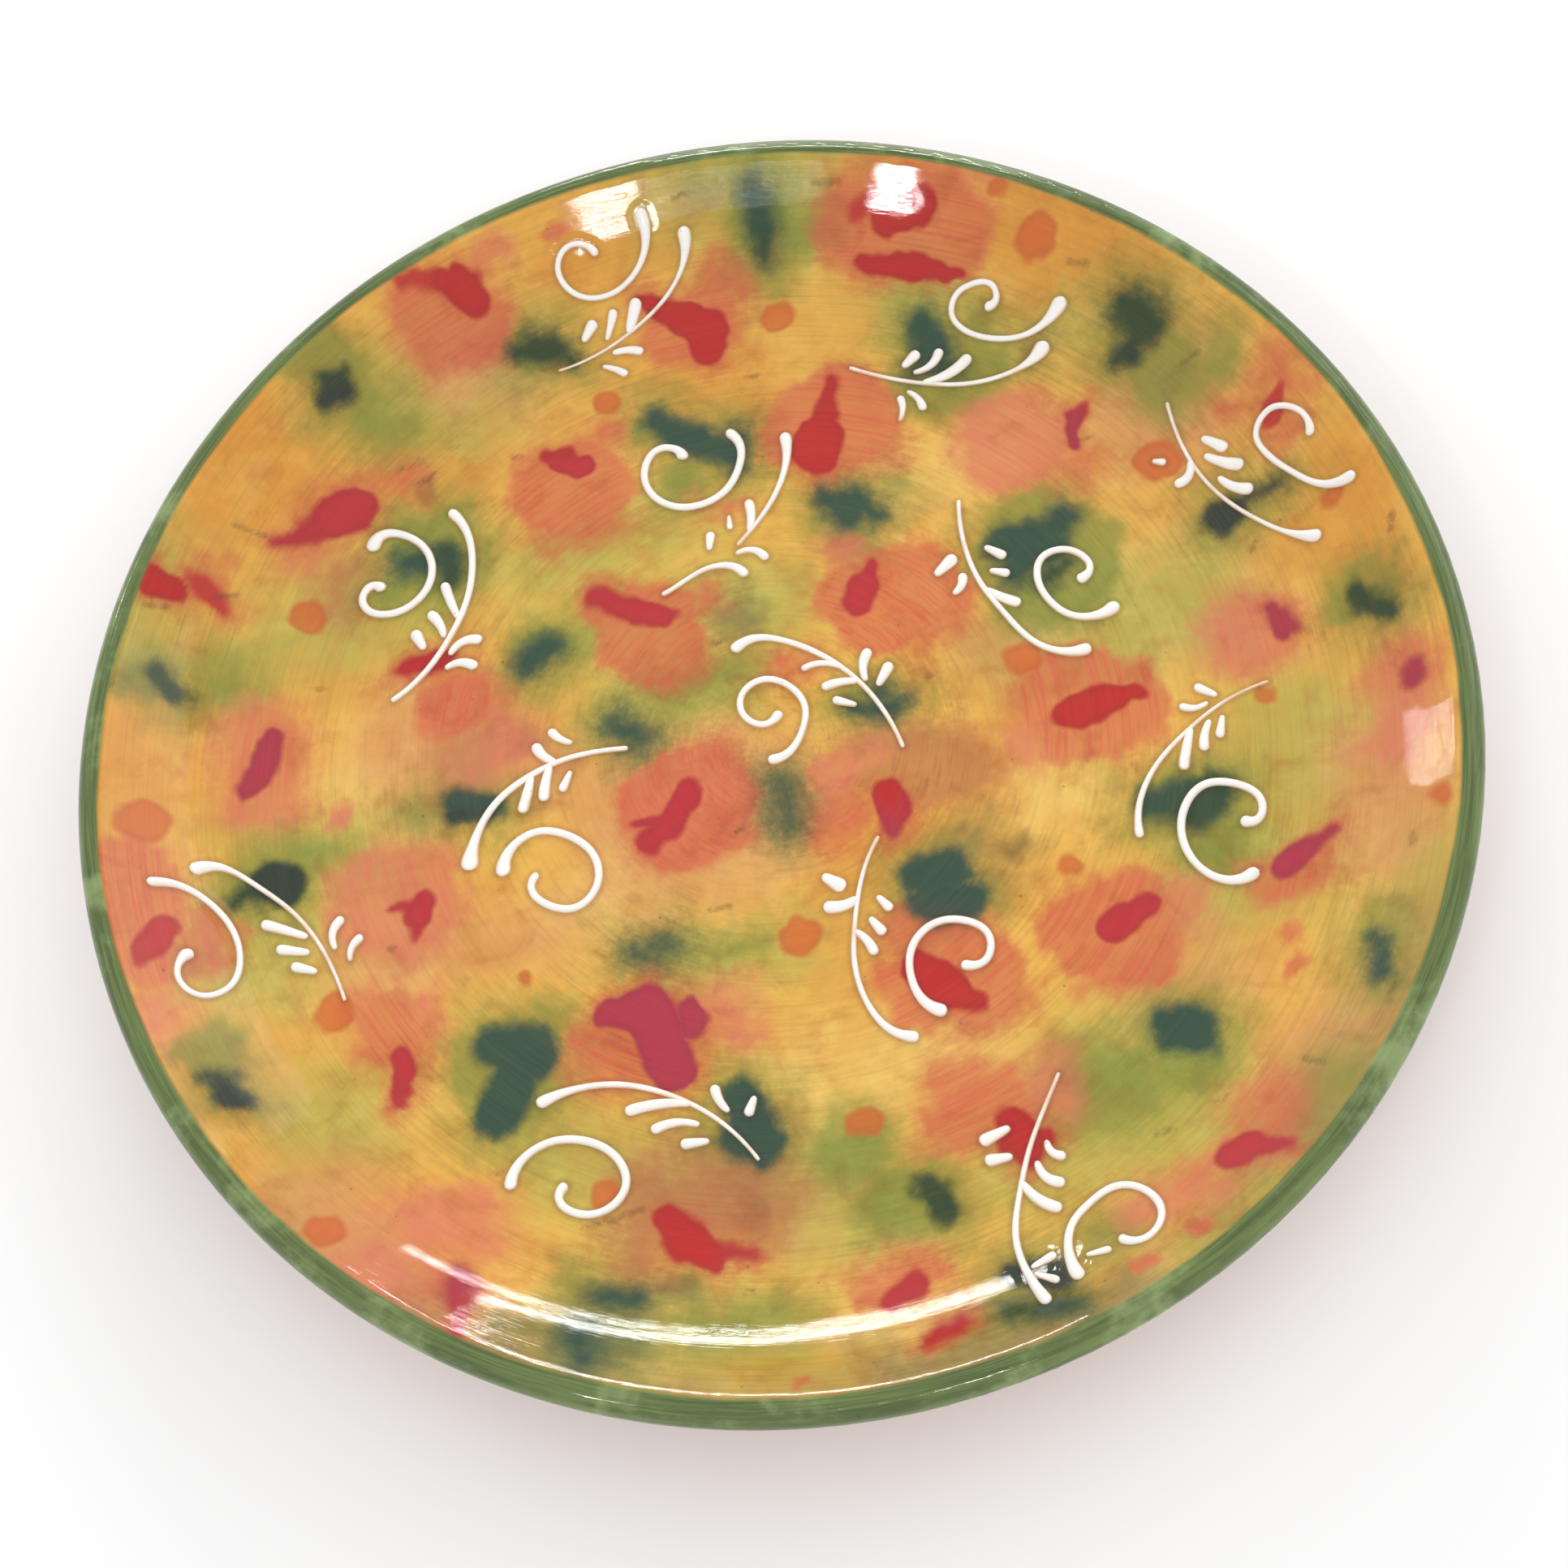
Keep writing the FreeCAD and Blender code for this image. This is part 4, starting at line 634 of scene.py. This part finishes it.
def painted_glaze():
    """The colour washes and strokes under a clear gloss glaze, with painted contact shade round the slip."""
    made, wires, shader = material("painted_glaze", 0.09)
    place = wires.place()
    line = wires.use(WHEEL_MARKS, run=3.4, lines=1050.0)
    brush = wires.use(WHEEL_MARKS, run=9.0, lines=240.0)
    cloud = wires.use(POOLING, scale=60.0)
    fine = wires.noise(place, 420.0, 5.0, 0.65)
    feather = wires.noise(place, 1500.0, 3.0, 0.6)
    lift = wires.math("ADD", wires.swing(fine, 2.2), wires.swing(feather, 0.8))
    scratch = wires.math("ADD", wires.math("SUBTRACT", line, 0.5), wires.math("SUBTRACT", brush, 0.5))

    tone = wires.stored("ground", True)
    tone = wires.mix(wires.spread(cloud, 0.36, 0.76, 0.0, 0.45), tone, linear(204, 132, 48))
    tone = wires.mix(wires.spread(cloud, 0.26, 0.52, 0.35, 0.0), tone, linear(236, 194, 104))
    tone = wires.mix(wires.spread(brush, 0.42, 0.85, 0.0, 0.3), tone, linear(186, 138, 58))
    tone = wires.mix(wires.spread(line, 0.42, 0.8, 0.0, 0.26), tone, linear(150, 104, 44))

    def layer(tone, name, jitter, start, full, strength, scratches, thin, edge=0.0):
        """One layer of paint over a tone, with a broken edge and scratches of the brush."""
        cover = wires.math("ADD", wires.stored(name + "_cover"), wires.math("MULTIPLY", lift, jitter))
        cover = wires.math("ADD", cover, wires.math("MULTIPLY", scratch, scratches))
        share = wires.spread(cover, start, full, 0.0, strength)
        share = wires.math("MULTIPLY", share, wires.spread(line, 0.34, 0.66, 1.0, thin))
        colour = wires.stored(name + "_colour", True)
        if edge:
            rimmed = wires.spread(cover, full, full + 1.6, edge, 0.0)
            colour = wires.mix(rimmed, colour, (0.02, 0.012, 0.012))
        return wires.mix(share, tone, colour)

    tone = layer(tone, "leaf", 0.6, -1.4, 1.5, 0.84, 1.6, 0.8)
    tone = layer(tone, "wash", 0.6, -1.2, 1.3, 0.86, 1.8, 0.66)
    shade = wires.spread(wires.noise(place, 95.0, 4.0, 0.62, 0.5), 0.46, 0.76, 0.0, 0.4)
    tone = wires.mix(shade, tone, linear(206, 150, 112), "MULTIPLY")
    tone = layer(tone, "green", 0.5, -1.1, 1.0, 0.96, 0.5, 0.95)
    tone = layer(tone, "core", 0.25, -0.7, 0.7, 0.95, 0.3, 0.97, edge=0.12)
    tone = layer(tone, "dot", 0.2, -1.0, 0.9, 0.84, 0.3, 0.85, edge=0.1)

    smudge = wires.math("ADD", wires.stored("smudge"), lift)
    tone = wires.mix(wires.spread(smudge, -0.7, 0.9, 0.0, 0.55), tone, linear(104, 64, 28))
    speck = wires.use(FIRED_SPECKS, scale=260.0, size=0.14)
    tone = wires.mix(wires.math("MULTIPLY", speck, 0.45), tone, linear(104, 66, 30))
    # Painted shade: the ground is darkened in a thin band where the slip meets the face, partly glaze pooling
    # round the strokes and partly painted contact shadow.
    pooling_and_contact_shade = wires.spread(wires.stored("slip_gap"), 0.3, 1.6, 0.2, 0.0)
    tone = wires.mix(pooling_and_contact_shade, tone, linear(92, 62, 34), "MULTIPLY")

    x, y = wires.sides()[:2]
    reach = wires.math("ADD", wires.from_axis(x, y), wires.swing(wires.noise(place, 30.0, 2.0), 0.0016))
    tone = wires.mix(wires.spread(reach, GREEN_FROM, GREEN_FULL), tone, rim_colour(wires))
    wires.put(shader.inputs["Base Color"], tone)
    wires.put(shader.inputs["Roughness"], wires.spread(fine, 0.3, 0.7, 0.02, 0.045))
    meniscus = wires.spread(wires.stored("slip_gap"), 0.4, 2.6, 1.0, 0.0)
    broad = wires.math("MULTIPLY", wires.noise(place, 70.0, 2.0), 0.8)
    small = wires.math("ADD", wires.math("MULTIPLY", line, 0.1), wires.math("MULTIPLY", meniscus, 0.5))
    raise_surface(wires, shader, wires.math("ADD", broad, small), 0.35, 0.0004)
    return made


def over_face(wires):
    """Height above the glazed face, at any place on the slip."""
    x, y, z = wires.sides()
    beyond = wires.math("SUBTRACT", wires.from_axis(x, y), WELL * MM)
    cove_across = COVE * math.sin(SLOPE) * MM
    bend = wires.math("MINIMUM", wires.math("MAXIMUM", beyond, 0.0), cove_across)
    square = wires.math("SUBTRACT", (COVE * MM) ** 2, wires.math("MULTIPLY", bend, bend))
    up = wires.math("SUBTRACT", COVE_UP * MM, wires.math("SQRT", square))
    rest = wires.math("MAXIMUM", wires.math("SUBTRACT", beyond, cove_across), 0.0)
    up = wires.math("ADD", up, wires.math("MULTIPLY", rest, math.tan(SLOPE)))
    return wires.math("SUBTRACT", z, up)


def white_slip():
    """Raised white strokes, warm where they run thin."""
    made, wires, shader = material("white_slip", 0.3, coat=0.5, coat_roughness=0.04)
    place = wires.place()
    depth = wires.math("ADD", over_face(wires), wires.swing(wires.noise(place, 130.0, 3.0), 0.0009))
    thin = wires.spread(depth, THIN_SLIP, FULL_SLIP, 0.9, 0.0)
    tone = wires.mix(thin, SLIP_WHITE, SLIP_WARM)
    dirt = wires.spread(wires.noise(place, 300.0, 4.0, 0.7), 0.5, 0.8, 0.0, 0.14)
    tone = wires.mix(dirt, tone, linear(196, 186, 170))
    speck = wires.use(FIRED_SPECKS, scale=420.0, size=0.16)
    tone = wires.mix(wires.math("MULTIPLY", speck, 0.4), tone, linear(150, 120, 96))
    wires.put(shader.inputs["Base Color"], tone)
    raise_surface(wires, shader, wires.noise(place, 500.0, 3.0), 0.3, 0.0003)
    return made


def green_glaze():
    """The glaze of the lip, with the clay showing at its lower edge."""
    made, wires, shader = material("green_glaze", 0.06)
    tone = rim_colour(wires)
    up = wires.sides()[2]
    edge = wires.math("ADD", up, wires.swing(wires.noise(wires.place(), 120.0, 3.0), 0.0016))
    tone = wires.mix(wires.spread(edge, CLAY_LOW, CLAY_HIGH, 1.0, 0.0), tone, linear(112, 66, 42))
    speck = wires.use(FIRED_SPECKS, scale=260.0, size=0.18)
    tone = wires.mix(wires.math("MULTIPLY", speck, 0.5), tone, linear(52, 44, 28))
    wires.put(shader.inputs["Base Color"], tone)
    marks = wires.use(WHEEL_MARKS, run=4.0, lines=700.0)
    height = wires.math("ADD", marks, wires.noise(wires.place(), 60.0, 2.0))
    raise_surface(wires, shader, height, 0.18, 0.0004)
    return made


def honey_glaze():
    """The glaze of the back, clear over the clay."""
    made, wires, shader = material("honey_glaze", 0.14)
    marks = wires.use(WHEEL_MARKS, run=2.0, lines=420.0)
    cloud = wires.use(POOLING, scale=26.0)
    tone = wires.mix(wires.spread(cloud, 0.35, 0.65), linear(150, 84, 42), linear(196, 128, 66))
    tone = wires.mix(wires.spread(marks, 0.42, 0.72, 0.0, 0.5), tone, linear(122, 64, 32))
    speck = wires.use(FIRED_SPECKS, scale=140.0, size=0.24)
    tone = wires.mix(wires.math("MULTIPLY", speck, 0.7), tone, linear(66, 36, 20))
    wires.put(shader.inputs["Base Color"], tone)
    raise_surface(wires, shader, wires.math("ADD", marks, wires.math("MULTIPLY", cloud, 0.6)), 0.5, 0.0006)
    return made


def terracotta():
    """Bare fired clay."""
    made, wires, shader = material("terracotta", 0.78)
    marks = wires.use(WHEEL_MARKS, run=3.0, lines=900.0)
    grain = wires.noise(wires.place(), 900.0, 5.0, 0.7)
    cloud = wires.use(POOLING, scale=30.0)
    tone = wires.mix(wires.spread(cloud, 0.35, 0.65), linear(168, 92, 60), linear(196, 118, 80))
    tone = wires.mix(wires.spread(grain, 0.45, 0.75, 0.0, 0.5), tone, linear(140, 74, 48))
    speck = wires.use(FIRED_SPECKS, scale=300.0, size=0.22)
    tone = wires.mix(wires.math("MULTIPLY", speck, 0.6), tone, linear(226, 190, 150))
    wires.put(shader.inputs["Base Color"], tone)
    wires.put(shader.inputs["Roughness"], wires.spread(grain, 0.3, 0.7, 0.68, 0.88))
    raise_surface(wires, shader, wires.math("ADD", grain, marks), 0.6, 0.0004)
    return made


# ---------------------------------------------------------------- putting it together

finishes = {"painted_glaze": painted_glaze(), "white_slip": white_slip(), "green_glaze": green_glaze(),
            "honey_glaze": honey_glaze(), "terracotta": terracotta()}

painted_face = face_piece()
painted_face.data.materials.append(finishes["painted_glaze"])
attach(painted_face, "root")
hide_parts("face_glaze")

for part in frame["record"]["subparts"]:
    node = frame["nodes"][part["node"]]
    for holder in node.material_slots:
        holder.material = finishes[part["material_slot"]]


FLOOR_HALF, FLOOR_DROP = 6.0, 0.0002
CENTRE = (0, 0, 0.02)    # the middle of the plate, which the lights are turned to


def plain_floor():
    """A broad pale floor under the plate."""
    corners = [(x * FLOOR_HALF, y * FLOOR_HALF, 0) for x, y in ((-1, -1), (1, -1), (1, 1), (-1, 1))]
    mesh = bpy.data.meshes.new("floor")
    mesh.from_pydata(corners, [], [(0, 1, 2, 3)])
    floor = bpy.data.objects.new("floor", mesh)
    bpy.context.scene.collection.objects.link(floor)
    made, _, shader = material("floor", 0.85)
    shader.inputs["Base Color"].default_value = (0.96, 0.96, 0.96, 1)
    shader.inputs["Specular IOR Level"].default_value = 0.1
    mesh.materials.append(made)
    floor.location.z = -FLOOR_DROP


def soft_light(name, place, aim, width, height, power):
    """A flat light at a place, turned to another."""
    data = bpy.data.lights.new(name, "AREA")
    data.shape = "RECTANGLE"
    data.size, data.size_y, data.energy = width, height, power
    lamp = bpy.data.objects.new(name, data)
    bpy.context.scene.collection.objects.link(lamp)
    lamp.location = place
    lamp.rotation_euler = (Vector(aim) - Vector(place)).to_track_quat("-Z", "Y").to_euler()
    return lamp


def strip_light(name, start, end, width, power):
    """A long narrow light between two places, turned to the plate."""
    start, end = Vector(start), Vector(end)
    lamp = soft_light(name, (start + end) / 2, CENTRE, (end - start).length, width, power)
    along = (end - start).normalized()
    away = lamp.location.normalized()
    across = away.cross(along).normalized()
    lamp.rotation_euler = Matrix((along, across, along.cross(across))).transposed().to_euler()
    return lamp


def studio():
    """Even light from all round, a large soft light to the side, and narrow ones that the glaze shows."""
    world = bpy.data.worlds.new("studio")
    world.use_nodes = True
    world.node_tree.nodes["Background"].inputs[0].default_value = (1.0, 1.0, 1.0, 1)
    world.node_tree.nodes["Background"].inputs[1].default_value = 0.9
    bpy.context.scene.world = world
    soft_light("key", (1.5, 1.0, 1.1), CENTRE, 1.6, 1.0, 5)
    strip_light("far_strip", (0.43, 1.28, 0.212), (-0.15, 1.354, 0.395), 0.036, 3.2)
    strip_light("far_strip_above", (0.54, 1.255, 0.345), (-0.12, 1.36, 0.475), 0.018, 2.4)
    strip_light("side_strip", (-0.955, 0.87, 0.53), (-0.863, 0.983, 0.445), 0.006, 0.24)
    strip_light("side_strip_thin", (-0.945, 0.86, 0.59), (-0.87, 0.965, 0.52), 0.003, 0.05)
    soft_light("back_window", (0.112, -0.83, 1.165), (0, 0.15, 0.03), 0.15, 0.034, 0.9)
    soft_light("back_window_left", (-0.573, -0.677, 1.119), (0.06, 0.14, 0.03), 0.09, 0.028, 0.85)
    strip_light("back_line", (0.235, -0.83, 1.125), (-0.403, -0.776, 1.11), 0.005, 0.3)


def camera():
    """A view from in front and above, a little rolled."""
    up_angle, roll, reach = math.radians(65.96), math.radians(-12.57), 0.52
    back = Vector((0, -math.cos(up_angle), math.sin(up_angle)))
    side = Vector((1, 0, 0))
    up = back.cross(side)
    right = math.cos(roll) * side + math.sin(roll) * up
    top = -math.sin(roll) * side + math.cos(roll) * up
    data = bpy.data.cameras.new("camera")
    data.sensor_width, data.lens = 36, 53.09
    made = bpy.data.objects.new("camera", data)
    bpy.context.scene.collection.objects.link(made)
    place = Vector((0.00049, -0.01917, 0.0302)) + back * reach
    made.matrix_world = Matrix.Translation(place) @ Matrix((right, top, back)).transposed().to_4x4()
    bpy.context.scene.camera = made


plain_floor()
studio()
camera()
bpy.context.scene.view_settings.view_transform = "Standard"
